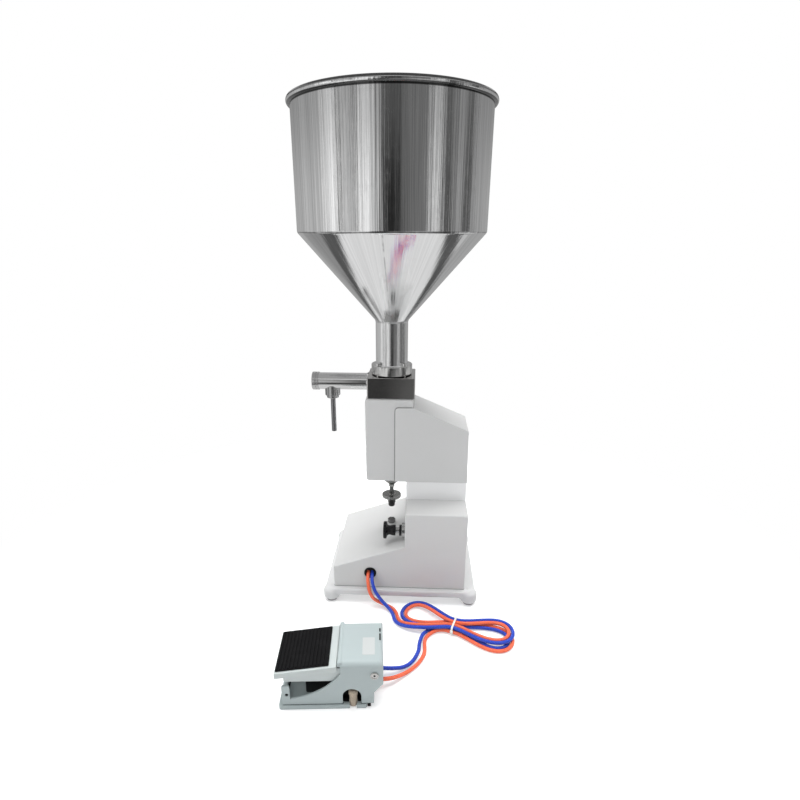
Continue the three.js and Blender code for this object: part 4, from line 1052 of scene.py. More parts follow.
@dataclass
class Hopper(Assembly):
    """The steel hopper with its neck, flange, gasket and bolts."""

    bowl_radius: float = 190.0
    wall: float = 1.5
    bead: float = 6.0
    bead_offset: float = 1.0
    neck_radius: float = 35.0
    flange_floor: float = 516.0
    flange_top: float = 536.0
    neck_top: float = 630.0
    cone_top: float = 804.0
    wall_top: float = 1026.0
    flange_radius: float = 45.0
    port: float = 15.0
    bolt_circle: float = 40.3
    bolt_radius: float = 4.6
    bolt_head: float = 6.5
    bolt_reach: float = 36.0

    def build(self) -> None:
        """Builds the hopper's pieces."""
        self.piece("hopper_shell", self.bowl(), HOPPER_STEEL, replaces=["hopper_bowl"], crease=60.0)
        self.piece("hopper_neck_tube", self.neck(), HOPPER_STEEL, replaces=["hopper_neck"], crease=60.0)
        self.piece("hopper_mounting_flange", self.flange(), FLANGE_STEEL, replaces=["hopper_flange"])
        for i in range(4):
            angle = math.radians(90.0 * i + 45.0)
            x, y = self.bolt_circle * math.cos(angle), self.bolt_circle * math.sin(angle)
            node = f"flange_bolt_{i + 1}"
            self.piece(f"flange_screw_{i + 1}", self.bolt().moved(x, y), SCREW_STEEL, replaces=[node])

    def bowl(self) -> Shape:
        """Turns the cone, the straight wall and the rolled rim as one sheet."""
        inner = self.neck_radius - self.wall
        turn = 9.0
        outside = rounded_outline(
            [
                (inner, self.neck_top), (self.neck_radius, self.neck_top),
                (self.bowl_radius, self.cone_top, turn),
                (self.bowl_radius, self.wall_top - self.bead),
            ],
            8,
            closed=False,
        )[:-1]
        start = -math.pi / 2 - math.asin(self.bead_offset / self.bead)
        end = math.pi / 2 + math.asin((self.bead_offset + self.wall) / self.bead)
        steps = 20
        centre = self.bowl_radius + self.bead_offset
        rim = [
            (
                centre + self.bead * math.cos(start + (end - start) * i / steps),
                self.wall_top + self.bead * math.sin(start + (end - start) * i / steps),
            )
            for i in range(steps + 1)
        ]
        inside = [(self.bowl_radius - self.wall, self.cone_top + self.wall / 2)]
        return Shape.turned([*outside, *rim, *inside], 224)

    def neck(self) -> Shape:
        """Turns the neck tube with its weld beads at both ends."""
        inner = self.neck_radius - self.wall
        bead = 0.9
        low, high = self.flange_top, self.neck_top
        profile = [
            (inner, low), (self.neck_radius + 2 * bead, low),
            (self.neck_radius + 1.5 * bead, low + bead), (self.neck_radius, low + 2.5 * bead),
            (self.neck_radius, high - 3 * bead), (self.neck_radius + bead / 2, high - 2 * bead),
            (self.neck_radius + bead, high - bead), (self.neck_radius + bead / 2, high),
            (inner, high),
        ]
        return Shape.turned(profile, 128)

    def flange(self) -> Shape:
        """Turns the flange, with the bolts' holes hidden under their heads."""
        inner = self.neck_radius - self.wall
        corners = [
            (self.port, self.flange_floor), (self.flange_radius, self.flange_floor, 1.2),
            (self.flange_radius, self.flange_top, 1.2), (inner, self.flange_top),
            (self.port, self.flange_floor + 5.0),
        ]
        return Shape.turned(rounded_outline(corners, 3), 128)

    def bolt(self) -> Shape:
        """Turns a socket screw and cuts its hexagon."""
        low = self.flange_top - self.bolt_reach
        top = self.flange_top + self.bolt_head
        corners = [
            (0.0, low), (3.0, low), (3.0, self.flange_top),
            (self.bolt_radius, self.flange_top, 0.3), (self.bolt_radius, top, 0.8), (0.0, top),
        ]
        return Shape.lathed(corners, 3, 32).cut(Shape.rod(2.4, top - 3.0, top + 1.0, 6))


@dataclass
class ValveHead(Assembly):
    """The valve block, the outlet tube with its cap, the union nut and the spout."""

    half_length: float = 52.0
    half_width: float = 47.5
    low: float = 468.0
    top: float = 514.0
    axis: float = 495.0
    tube_radius: float = 18.5
    tube_bore: float = 14.0
    tube_end: float = -163.0
    cap_radius: float = 20.0
    cap_length: float = 15.0
    nozzle: float = -134.0
    nut_radius: float = 17.0
    lip_radius: float = 13.5
    nut_low: float = 463.0
    lip_low: float = 457.0
    spout_radius: float = 5.5
    spout_bore: float = 4.0
    spout_low: float = 376.3

    def build(self) -> None:
        """Builds the head's pieces."""
        self.piece("valve_body_block", self.block(), BLOCK_STEEL, replaces=["valve_block"])
        self.piece("outlet_pipe", self.tube(), TUBE_STEEL, replaces=["outlet_tube"])
        self.piece("outlet_cap", self.cap(), TURNED_ALONG_X, replaces=["outlet_end_cap"])
        self.piece("union_nut", self.nut(), NUT_STEEL, replaces=["nozzle_union_nut"])
        self.piece("filling_spout", self.spout(), SPOUT_STEEL, replaces=["nozzle_spout"])
        self.springs()

    def springs(self) -> None:
        """Winds the two valve springs at rest, each on a mesh of its own; the real springs shorten as their
        poppets open.
        """
        low = self.low + 0.3
        inlet = Shape.coil(21.9, 1.6, 4, low, low + 26.8)
        made = self.piece("inlet_valve_spring", inlet, SPRING_STEEL, replaces=["inlet_spring"], crease=70.0)
        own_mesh(made)
        back = -119.68
        outlet = Shape.coil(8.0, 1.3, 7, back, back + 62.03).along_x().moved(0.0, 0.0, self.axis)
        made = self.piece(
            "outlet_valve_spring", outlet, SPRING_STEEL, replaces=["outlet_spring"], crease=70.0
        )
        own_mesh(made)

    def block(self) -> Shape:
        """Draws the block with its rounded edges."""
        x, y = (-self.half_length, self.half_length), (-self.half_width, self.half_width)
        return Shape.drawn(rounded_box(x, y, 2.4, 3), self.low, self.top).eased(1.2)

    def tube(self) -> Shape:
        """Turns the outlet tube with the weld that joins it to the block."""
        weld = 2.2
        profile = [
            (self.tube_bore, self.tube_end), (self.tube_radius, self.tube_end),
            (self.tube_radius, -self.half_length - 2 * weld),
            (self.tube_radius + weld / 3, -self.half_length - weld),
            (self.tube_radius + weld, -self.half_length), (self.tube_bore, -self.half_length),
        ]
        return Shape.turned(profile, 96).along_x().moved(z=self.axis)

    def cap(self) -> Shape:
        """Turns the end cap with its groove and dished face."""
        outer = self.tube_end - self.cap_length
        lip = self.tube_end - self.cap_length / 3
        dish = 1.2
        corners = [
            (0.0, outer + dish), (self.cap_radius - 6.0, outer + dish, 1.0),
            (self.cap_radius - 5.0, outer, 0.4), (self.cap_radius, outer, 1.5),
            (self.cap_radius, lip - 1.5, 0.4), (self.cap_radius - 1.5, lip - 1.5, 0.2),
            (self.cap_radius - 1.5, lip, 0.2), (self.cap_radius, lip, 0.4),
            (self.cap_radius, self.tube_end, 0.5), (self.tube_bore - 0.3, self.tube_end),
            (self.tube_bore - 0.3, self.tube_end + 5.0), (0.0, self.tube_end + 5.0),
        ]
        return Shape.lathed(corners, 3, 96).along_x().moved(z=self.axis)

    def nut(self) -> Shape:
        """Turns the union nut, grips cut round it, with its lip below."""
        bore = self.spout_radius + 0.3
        top = self.axis - 8.0
        corners = [
            (bore, self.lip_low), (self.lip_radius, self.lip_low, 1.2),
            (self.lip_radius, self.nut_low, 0.6), (self.nut_radius, self.nut_low, 1.4),
            (self.nut_radius, top, 1.0), (bore, top),
        ]
        body = Shape.turned(rounded_outline(corners, 3), 96)
        grips = Shape.rod(1.6, self.nut_low - 4.0, top, 10).ringed(16, self.nut_radius + 0.9)
        return body.cut(grips).moved(x=self.nozzle)

    def spout(self) -> Shape:
        """Turns the spout tube with its collar and open end."""
        seat = self.lip_low + 3.3
        corners = [
            (self.spout_bore, self.spout_low), (self.spout_radius, self.spout_low, 0.5),
            (self.spout_radius, seat), (self.spout_radius + 2.1, seat),
            (self.spout_radius + 2.1, seat + 5.0), (self.spout_bore, seat + 5.0),
        ]
        return Shape.turned(rounded_outline(corners, 3), 48).moved(x=self.nozzle)


@dataclass
class Housing(Assembly):
    """The front housing, the sheet cover behind it and the column below."""

    front: float = -56.0
    rear: float = 50.0
    half_width: float = 52.0
    floor: float = 274.0
    top: float = 468.0
    corner: float = 6.0
    sheet: float = 2.5
    clear: float = 0.3
    cover_front: float = 10.0
    cover_top: float = 450.0
    cover_rear: float = 175.0
    cover_rear_top: float = 399.0
    column_front: float = 36.0
    column_half_width: float = 51.0
    column_low: float = 224.0

    def build(self) -> None:
        """Builds the painted pieces of the head."""
        self.piece("housing_front", self.front_box(), WHITE, replaces=["front_housing"])
        self.piece("housing_cover", self.cover(), WHITE, replaces=["rear_cover"], edge=0.5, crease=50.0)
        # A grey strip along the cover's edges stands for the seam's shade: painted shade.
        self.piece("cover_seam_painted_shade", self.seal(), SEAL_GREY)
        self.piece("housing_column", self.column(), COLUMN_WHITE_WITH_PAINTED_LIGHT, replaces=["column"])
        for i, (y, z) in enumerate(((-40.0, 286.0), (40.0, 286.0), (-40.0, 388.0), (40.0, 388.0))):
            self.piece(f"cover_screw_{i + 1}", self.screw().moved(self.rear_at(z), y, z), TURNED_ALONG_X)

    def rear_at(self, height: float) -> float:
        """Gives the cover's rear face at a height, a little inside it."""
        rise = (height - self.floor) / (self.cover_rear_top - self.floor)
        return self.cover_rear - 3.0 * rise - 0.4

    def front_box(self) -> Shape:
        """Draws the front housing with its rounded edges."""
        x, z = (self.front, self.rear), (self.floor, self.top)
        outline = rounded_box(x, z, self.corner, 5)
        return Shape.drawn(outline, -self.half_width, self.half_width, Axis.Y).eased(2.6, 4)

    def cover(self) -> Shape:
        """Folds the sheet cover: two sides, a sloping roof and a rear wall."""
        half = self.half_width + self.clear
        roof = self.rear + self.sheet
        outer = [
            (self.cover_front, self.floor, 1.5), (self.cover_rear, self.floor, 1.0),
            (self.cover_rear - 3.0, self.cover_rear_top, 3.0), (roof, self.cover_top, 2.0),
            (self.cover_front, self.cover_top, 7.0),
        ]
        inner = [
            (self.cover_front - 5.0, self.floor - 5.0),
            (self.cover_rear - self.sheet, self.floor - 5.0),
            (self.cover_rear - 3.0 - self.sheet, self.cover_rear_top - self.sheet / 2),
            (self.rear + self.clear, self.cover_top - self.sheet),
            (self.rear + self.clear, self.cover_top + 5.0),
            (self.cover_front - 5.0, self.cover_top + 5.0),
        ]
        return Shape.sided(outer, 4, half + self.sheet).cut(Shape.sided(inner, 4, half))

    def seal(self) -> Shape:
        """Draws the grey strip that shows along the cover's front and top edges: painted shade for the seam.
        """
        show, half = 1.3, self.half_width + self.clear + 0.7
        outline = [
            (self.cover_front - show, self.floor + 0.2), (self.rear - 2.0, self.floor + 0.2),
            (self.rear - 2.0, self.cover_top + show * 0.6),
            (self.cover_front - show, self.cover_top + show * 0.6, 8.0),
        ]
        inner = [
            (self.cover_front + 3.0, self.floor - 1.0), (self.rear - 3.0, self.floor - 1.0),
            (self.rear - 3.0, self.cover_top - 4.0), (self.cover_front + 3.0, self.cover_top - 4.0),
        ]
        side = self.half_width + 0.1
        core = Shape.box((-20.0, 80.0), (-side, side), (200.0, 500.0))
        return Shape.sided(outline, 5, half).cut(Shape.sided(inner, 5, half + 1.0), core)

    def column(self) -> Shape:
        """Draws the column between the base and the housing."""
        x = (self.column_front, self.cover_rear)
        y = (-self.column_half_width, self.column_half_width)
        return Shape.drawn(rounded_box(x, y, 3.0, 4), self.column_low, self.floor + 2.0)

    def screw(self) -> Shape:
        """Turns a pan-head screw that looks to the rear, with its cross."""
        corners = [(0.0, -1.0), (3.4, -1.0), (3.4, 0.7, 0.8), (2.2, 1.9, 1.0), (0.0, 2.1)]
        head = Shape.lathed(corners, 3, 32)
        cross = Shape.box((-2.0, 2.0), (-0.4, 0.4), (1.1, 3.0))
        other = Shape.box((-0.4, 0.4), (-2.0, 2.0), (1.1, 3.0))
        return head.cut(cross, other).along_x()


@dataclass
class Base(Assembly):
    """The cast base with its plinth and feet, the hose grommet and the rubber pads."""

    front: float = -128.0
    rear: float = 175.0
    half_width: float = 128.0
    wall_x: float = 36.0
    plinth_low: float = 18.0
    plinth_top: float = 36.0
    slope_foot: float = 88.0
    slope_head: float = 146.0
    top: float = 228.0
    plinth_front: float = -149.0
    plinth_rear: float = 200.0
    plinth_half: float = 140.0
    plinth_corner: float = 22.0
    foot_radius: float = 19.0
    foot_inset: float = 14.0
    foot_low: float = 5.0
    flare: float = 17.0
    hole_x: float = -43.0
    hole_z: float = 75.0
    hole_radius: float = 12.0
    grommet_radius: float = 14.0
    pad_radius: float = 13.0
    screw_share: float = 0.985

    def build(self) -> None:
        """Builds the base's pieces."""
        self.piece("base_body", self.body(), WHITE, replaces=["base_casting"], crease=30.0)
        self.piece("base_plinth", self.plinth(), PLINTH_WHITE, replaces=["base_casting"], crease=60.0)
        self.piece("base_joint_seal", self.joint_seal(), SEAL_GREY)
        self.piece("cable_grommet", self.grommet(), RUBBER, replaces=["hose_grommet"])
        for name, x, y in self.feet():
            pad, node = self.pad().moved(x, y), f"foot_pad_{name}"
            self.piece(f"rubber_foot_{name}", pad, PAD_RUBBER, replaces=[node])
            screw = self.screw().moved(x * self.screw_share, y * self.screw_share, self.plinth_top)
            self.piece(f"plinth_screw_{name}", screw, WHITE)

    def feet(self) -> list[tuple[str, float, float]]:
        """Gives each foot's name and place."""
        front = self.plinth_front + self.foot_inset
        rear = self.plinth_rear - self.foot_inset
        side = self.plinth_half - self.foot_inset
        return [
            ("front_near", front, -side), ("front_far", front, side), ("rear_near", rear, -side),
            ("rear_far", rear, side),
        ]

    def body(self) -> Shape:
        """Draws the sloping body and cuts the hose hole."""
        outline = [
            (self.front, self.plinth_low + 4.0), (self.rear, self.plinth_low + 4.0),
            (self.rear, self.top, 4.0), (self.wall_x, self.top, 4.0),
            (self.wall_x, self.slope_head, 4.0), (self.front, self.slope_foot, 4.0),
        ]
        body = Shape.sided(outline, 5, self.half_width).eased(3.0, 4)
        boss = Shape.turned([(0.0, 100.0), (13.0, 100.0), (13.0, 137.5), (12.0, 138.3), (0.0, 138.3)], 64)
        hole = Shape.rod(self.hole_radius, -8.0, 14.0, 48).along_y()
        hole.moved(self.hole_x, -self.half_width, self.hole_z)
        return body.cut(hole).plus(boss)

    def joint_seal(self) -> Shape:
        """Draws the thin seal that shows between the body and the plinth."""
        proud, thick = 0.3, 0.9
        x, y = (self.front - proud, self.rear + proud), (-self.half_width - proud, self.half_width + proud)
        return Shape.drawn(rounded_box(x, y, 3.0, 4), self.plinth_top - 0.2, self.plinth_top + thick)

    def plinth(self) -> Shape:
        """Casts the plinth and its four flared feet as one."""
        x = (self.plinth_front, self.plinth_rear)
        y = (-self.plinth_half, self.plinth_half)
        outline = rounded_box(x, y, self.plinth_corner, 10)
        lip = Shape.drawn(outline, self.plinth_low, self.plinth_top).eased(4.0, 4)
        inset = 2.0
        x, y = (x[0] + inset, x[1] - inset), (y[0] + inset, y[1] - inset)
        within = rounded_box(x, y, self.plinth_corner - inset, 10)
        bound = Shape.drawn(within, 0.0, self.plinth_low + 3.0)
        for _, foot_x, foot_y in self.feet():
            flare = self.flare_shape().moved(foot_x, foot_y).kept_within(bound)
            lip.plus(flare, self.foot().moved(foot_x, foot_y))
        lip.recast(2.0, 5)
        well = Shape.box(
            (self.front + 6.0, self.rear - 6.0), (-self.half_width + 6.0, self.half_width - 6.0),
            (0.0, self.plinth_low + 2.3),
        )
        return lip.cut(well)

    def foot(self) -> Shape:
        """Turns one foot."""
        high = self.plinth_top - 3.0
        corners = [
            (0.0, self.foot_low), (self.foot_radius, self.foot_low, 7.0),
            (self.foot_radius, high, 8.0), (0.0, high),
        ]
        return Shape.lathed(corners, 6, 48)

    def flare_shape(self) -> Shape:
        """Turns the fillet between a foot and the plinth."""
        rise = self.plinth_low + 2.0 - self.foot_low - 3.0
        low = self.foot_low + 3.0
        arc = [
            (
                self.foot_radius + self.flare * (1.0 - math.cos(math.pi / 2 * i / 8)),
                low + rise * math.sin(math.pi / 2 * i / 8),
            )
            for i in range(9)
        ]
        reach = self.foot_radius + self.flare
        return Shape.turned([(0.0, low), *arc, (reach, low + rise + 1.0), (0.0, low + rise + 1.0)], 48)

    def grommet(self) -> Shape:
        """Turns the rubber grommet: a round lip outside and a web within."""
        corners = [
            (0.0, 4.5), (8.6, 4.5, 1.0), (9.6, -1.0, 1.0), (10.4, -3.0, 1.0),
            (self.grommet_radius, -3.0, 1.4), (self.grommet_radius, 0.2, 0.6),
            (self.hole_radius - 0.2, 0.2), (self.hole_radius - 0.2, 8.0), (0.0, 8.0),
        ]
        body = Shape.lathed(corners, 4, 64)
        return body.along_y().moved(self.hole_x, -self.half_width, self.hole_z)

    def pad(self) -> Shape:
        """Turns one rubber pad."""
        top = self.foot_low
        corners = [(0.0, 0.0), (self.pad_radius, 0.0, 1.4), (self.pad_radius, top), (0.0, top)]
        return Shape.lathed(corners, 4, 48)

    def screw(self) -> Shape:
        """Turns the small sunk screw over a foot."""
        corners = [(0.0, -1.0), (3.1, -1.0), (3.1, 0.5, 0.4), (1.6, 0.6), (1.4, -0.4), (0.0, -0.4)]
        return Shape.lathed(corners, 2, 24)


@dataclass
class StrokeStop(Assembly):
    """The piston rod with its bush, adjusting disc, domed nut and the stop on the base."""

    floor: float = 274.0
    rod_radius: float = 5.0
    rod_top: float = 430.0
    bush_radius: float = 19.5
    sleeve: float = 7.0
    bush_length: float = 37.0
    disc_top: float = 217.0
    disc_radius: float = 23.0
    disc_thickness: float = 8.0
    nut_top: float = 208.7
    nut_radius: float = 9.5
    nut_height: float = 15.0
    dome: float = 8.0
    dome_height: float = 10.0
    seat: float = 138.27

    def build(self) -> None:
        """Builds the stroke stop's pieces."""
        self.piece("rod_guide_bush", self.bush(), TURNED_STEEL, replaces=["rod_bush"])
        self.piece("piston_rod", self.rod(), DARK_STEEL, "piston", ["stroke_rod"])
        self.piece("stroke_disc_knurled", self.disc(), TURNED_STEEL, "stroke_disc", ["adjusting_disc"])
        self.piece("stroke_lock_nut", self.nut(), BLACKENED_STEEL, "stroke_nut", ["lock_nut"])
        self.piece("base_stop_stud", self.stud(), DARK_STEEL, replaces=["stop_stud"])

    def rod(self) -> Shape:
        """Turns the rod."""
        low = self.nut_top - self.nut_height + 2.6
        return Shape.rod(self.rod_radius, low, self.rod_top, 32)

    def bush(self) -> Shape:
        """Turns the bush: a rim, a cone and a sleeve round the rod."""
        low = self.floor - self.bush_length
        bore = self.rod_radius + 0.3
        corners = [
            (bore, low), (self.sleeve, low, 0.8), (self.sleeve, self.floor - 31.0, 2.0),
            (self.bush_radius, self.floor - 19.0, 1.0), (self.bush_radius, self.floor, 0.8),
            (bore, self.floor),
        ]
        return Shape.turned(rounded_outline(corners, 4), 64)

    def disc(self) -> Shape:
        """Turns the adjusting disc and knurls its edge."""
        low = self.disc_top - self.disc_thickness
        bore = self.rod_radius + 0.3
        corners = [
            (bore, low), (self.disc_radius, low, 2.0), (self.disc_radius, self.disc_top, 2.0),
            (9.0, self.disc_top, 0.6), (9.0, self.disc_top + 2.5, 0.6), (bore, self.disc_top + 2.5),
        ]
        body = Shape.turned(rounded_outline(corners, 4), 96)
        knurl = Shape.rod(0.9, low - 1.0, self.disc_top + 0.1, 6).ringed(36, self.disc_radius + 0.35)
        return body.cut(knurl)

    def nut(self) -> Shape:
        """Makes the domed nut: a hexagon over a round cap."""
        shoulder = self.nut_top - self.nut_height
        hexagon = Shape.rod(self.nut_radius, shoulder, self.nut_top, 6).eased(0.7, 2)
        low = shoulder - self.dome_height
        corners = [(0.0, low), (self.dome, low, 5.0), (self.dome, shoulder + 1.0), (0.0, shoulder + 1.0)]
        return hexagon.plus(Shape.lathed(corners, 6, 48))

    def stud(self) -> Shape:
        """Makes the stop on the base: a hexagon on its shank."""
        hexagon = Shape.rod(self.nut_radius, self.seat, self.seat + 10.0, 6).eased(0.7, 2)
        return hexagon.plus(Shape.rod(5.0, self.seat - 16.0, self.seat + 1.0, 32))


@dataclass
class Regulator(Assembly):
    """The speed regulator on the base's wall: collar, lock ring and grip knob."""

    wall_x: float = 36.0
    y: float = -88.0
    z: float = 166.0
    collar: float = 17.5
    neck: float = 7.0
    ring: float = 13.0

    def build(self) -> None:
        """Builds the regulator's pieces."""
        for name, shape, finish, body, node in (
            ("regulator_wall_collar", self.collar_shape(), TURNED_ALONG_X, "machine", "regulator_collar"),
            ("regulator_ring", self.ring_shape(), KNOB_PLASTIC, "machine", "regulator_lock_ring"),
            ("speed_knob_grip", self.knob_shape(), KNOB_PLASTIC, "speed_knob", "regulator_knob"),
        ):
            self.piece(name, shape.along_x().moved(0.0, self.y, self.z), finish, body, [node])

    def collar_shape(self) -> Shape:
        """Turns the collar and its threaded neck."""
        front = self.wall_x - 8.0
        corners = [
            (4.3, front - 14.0), (self.neck, front - 14.0, 0.8), (self.neck, front, 0.5),
            (self.collar, front, 1.2), (self.collar, self.wall_x), (4.3, self.wall_x),
        ]
        body = Shape.turned(rounded_outline(corners, 3), 64)
        thread, outer = Shape(), self.neck + 1.0
        for i in range(7):
            z = front - 2.0 - 1.6 * i
            thread.plus(Shape.turned([(self.neck - 0.6, z), (outer, z - 0.5), (outer, z + 0.5)], 32))
        return body.cut(thread)

    def ring_shape(self) -> Shape:
        """Turns the lock ring."""
        rear = self.wall_x - 8.3
        corners = [
            (self.neck + 0.3, rear - 5.4), (self.ring, rear - 5.4, 1.0), (self.ring, rear, 1.0),
            (self.neck + 0.3, rear),
        ]
        return Shape.turned(rounded_outline(corners, 3), 64)

    def knob_shape(self) -> Shape:
        """Turns the waisted knob and cuts the grips in its flange."""
        rear = self.wall_x - 22.3
        front = rear - 28.0
        corners = [
            (0.0, front + 1.0), (9.0, front + 1.0, 1.0), (10.5, front, 1.0), (20.0, front, 2.0),
            (20.0, front + 7.0, 2.0), (12.5, front + 9.5, 2.5), (10.4, front + 14.0, 6.0),
            (12.5, rear - 6.0, 3.0), (12.5, rear, 1.0), (4.0, rear), (4.0, self.wall_x + 14.0),
            (0.0, self.wall_x + 14.0),
        ]
        body = Shape.lathed(corners, 4, 72)
        return body.cut(Shape.rod(1.5, front - 1.0, front + 8.0, 10).ringed(18, 20.8))


@dataclass
class FootValve(Assembly):
    """The cast foot valve: floor plate, housing, treadle with its ribbed pad, pin, spring and silencer."""

    place: Matrix = field(default_factory=lambda: FOOT_VALVE.copy())
    half: float = 57.0
    wall: float = 4.0
    top: float = 101.0
    rear: float = 202.0
    hood_front: float = 125.0
    round: float = 7.0
    crown: float = 11.0
    floor: float = 9.3
    pivot_x: float = 186.3
    pivot_z: float = 74.0
    arch_x: float = 145.0
    arch_radius: float = 17.0
    arch_height: float = 43.0
    plunger_x: float = 76.0
    slope: float = 7.1
    tip: float = 7.0
    tip_height: float = 79.6
    treadle_rear: float = 119.0
    treadle_half: float = 56.0
    pad_front: float = 9.0
    pad_length: float = 97.0
    pad_half: float = 51.5
    slots: tuple[Point, ...] = ((2.5, 21.5), (25.5, 36.0))
    silencer_at: Point = (147.0, -50.0)
    front_hole_x: float = 27.5
    front_hole_z: float = 32.0

    def build(self) -> None:
        """Builds the foot valve's pieces."""
        self.piece("foot_floor_plate", self.floor_plate(), CAST_GREEN, replaces=["pedal_base_plate"])
        rounding = {"edge": 0.9, "crease": 38.0}
        self.piece("foot_housing", self.casing(), CAST_GREEN, replaces=["pedal_housing"], **rounding)
        self.piece("foot_treadle", self.treadle(), TREADLE_GREEN, "treadle", ["pedal_treadle"], **rounding)
        self.piece("treadle_rubber", self.pad(), RUBBER, "treadle", ["pedal_pad"])
        self.piece("treadle_pin", self.pin(), NICKEL, replaces=["pedal_pivot_pin"])
        self.piece("hood_label", self.label(), LABEL)
        self.piece("exhaust_silencer", self.silencer(), BRONZE, replaces=["pedal_silencer"])
        self.piece("rear_bumper", self.bumper(), RUBBER)
        # A black panel behind the silencer darkens the arch's interior: painted shade.
        self.piece("arch_painted_shade_panel", self.arch_shade_panel(), RUBBER)
        # A black disc in the front hole stands for the hole's shade: painted shade.
        self.piece("front_hole_painted_shade", self.front_hole_shade(), RUBBER)
        # A black strip in the plate's joint stands for the gap's shade: painted shade.
        self.piece("plate_joint_painted_shade", self.gasket(), RUBBER)
        # Black strips in the hood's slots stand for the shade inside them: painted shade.
        self.piece("hood_slot_painted_shade", self.slot_shade_strips(), RUBBER)
        # A black disc in the pin's hole stands for the hole's shade: painted shade.
        self.piece("pin_hole_painted_shade", self.pin_hole_shade(), RUBBER)
        for colour, side in PORTS.items():
            node = f"pedal_fitting_{colour}"
            self.piece(f"push_fitting_{colour}", self.fitting(side), NICKEL, replaces=[node])
        self.spring()

    def treadle_top(self, x: float) -> float:
        """Gives the treadle's upper face at a place along it."""
        return self.tip_height + math.tan(math.radians(self.slope)) * (x - self.tip)

    def floor_plate(self) -> Shape:
        """Draws the floor plate with the notch for the silencer."""
        outline = rounded_box((12.0, 172.5), (-60.0, 60.0), 5.0, 5)
        plate = Shape.drawn(outline, 0.0, 8.4)
        notch = Shape.rod(8.4, -4.0, 13.0, 48).moved(*self.silencer_at)
        mouth = Shape.box((141.0, 153.0), (-80.0, -50.0), (-4.0, 13.0))
        return plate.cut(notch, mouth).eased(1.4, 3, 50.0)

    def gasket(self) -> Shape:
        """Draws a black strip in the joint between the floor plate and the housing: painted shade for the
        gap.
        """
        outer = rounded_box((18.6, 172.0), (-self.half - 0.3, self.half + 0.3), 3.0, 4)
        inner = rounded_box((26.0, 170.0), (-self.half + self.wall, self.half - self.wall), 2.0, 3)
        reach = self.arch_radius - 1.0
        archway = Shape.box((self.arch_x - reach, self.arch_x + reach), (-70.0, -40.0), (0.0, 20.0))
        return Shape.drawn(outer, 8.4, self.floor).cut(Shape.drawn(inner, 0.0, 20.0), archway)

    def slot_shade_strips(self) -> Shape:
        """Fills the hood's two slots with black strips, set a little below its face: painted shade inside
        the slots.
        """
        strips = Shape()
        for y0, y1 in self.slots:
            strips.plus(Shape.box((195.3, 198.1), (y0 + 0.1, y1 - 0.1), (self.top - 3.3, self.top - 0.7)))
        return strips

    def pin_hole_shade(self) -> Shape:
        """Turns a black disc at the bottom of the hole in the pin's near head: painted shade in the hole."""
        face = self.half + 0.3
        body = Shape.rod(1.9, -face - 1.2, -face + 1.0, 24)
        return body.along_y().moved(self.pivot_x, 0.0, self.pivot_z)

    def cheek_outline(self) -> list[Point]:
        """Gives the side's outline with its long curved cut."""
        run, rise = self.hood_front - 33.0, 54.0
        shares = [(0.0, 0.0), (0.12, 0.04), (0.42, 0.2), (0.72, 0.5), (0.9, 0.8), (1.0, 1.0)]
        through = [Vector((33.0 + run * x, 22.0 + rise * z, 0.0)) for x, z in shares]
        curve = [(point.x, point.y) for point in reversed(smooth_line(through, 5))]
        before = [
            (19.0, self.floor), (185.0, self.floor), (185.0, 34.0, 6.0), (self.rear, 54.0, 5.0),
            (self.rear, self.top, self.round), (self.hood_front, self.top, 0.8),
        ]
        after = [(33.0, 52.0, 3.0), (19.0, 52.0, 3.0)]
        first = rounded_outline([*before, curve[0]], 5, closed=False)[:-1]
        first[0] = (19.0, self.floor)
        last = rounded_outline([curve[-1], *after, (19.0, self.floor)], 4, closed=False)[1:-1]
        return [*first, *curve, *last]

    def casing(self) -> Shape:
        """Cuts the housing from its side outline and its crown."""
        inner = self.half - self.wall
        whole = Shape.drawn(self.cheek_outline(), -self.half, self.half, Axis.Y)
        crown = Shape.drawn(
            rounded_box((-self.half, self.half), (-self.top, self.top), self.crown, 8), 0.0, 220.0, Axis.X
        )
        rear, roof = self.rear - self.wall, self.top - self.wall
        corners = [
            (10.0, -10.0), (181.0, -10.0), (181.0, 34.0, 4.0), (rear, 54.0, 3.0), (rear, roof, 4.0),
            (10.0, roof),
        ]
        hollow = Shape.sided(corners, 4, inner)
        gate = Shape.box((172.0, 215.0), (-34.0, 34.0), (-10.0, 44.0))
        archway = Shape.drawn(
            rounded_box(
                (self.arch_x - self.arch_radius, self.arch_x + self.arch_radius),
                (-self.arch_height, self.arch_height),
                self.arch_radius - 0.3,
                8,
            ),
            -self.half - 5.0,
            -inner + 5.0,
            Axis.Y,
        )
        hole = Shape.rod(3.4, -8.0, 8.0, 24).along_y().moved(self.front_hole_x, -self.half, self.front_hole_z)
        slots = [Shape.box((195.2, 198.2), ends, (self.top - 3.4, self.top + 4.0)) for ends in self.slots]
        front, back = self.treadle_rear + 0.8, self.hood_front + 3.0
        low, high = self.top - 9.0, self.top + 0.9
        corners = [(front, low, 2.0), (back, low), (back, high, 2.0), (front, high, 4.5)]
        rib = Shape.sided(corners, 5, self.half - 2.0).eased(1.2, 3, 50.0)
        sill = Shape.box((19.0, 23.0), (-inner - 1.0, inner + 1.0), (self.floor, 22.0))
        return whole.kept_within(crown).cut(hollow).joined(sill).joined(rib).cut(gate, archway, hole, *slots)

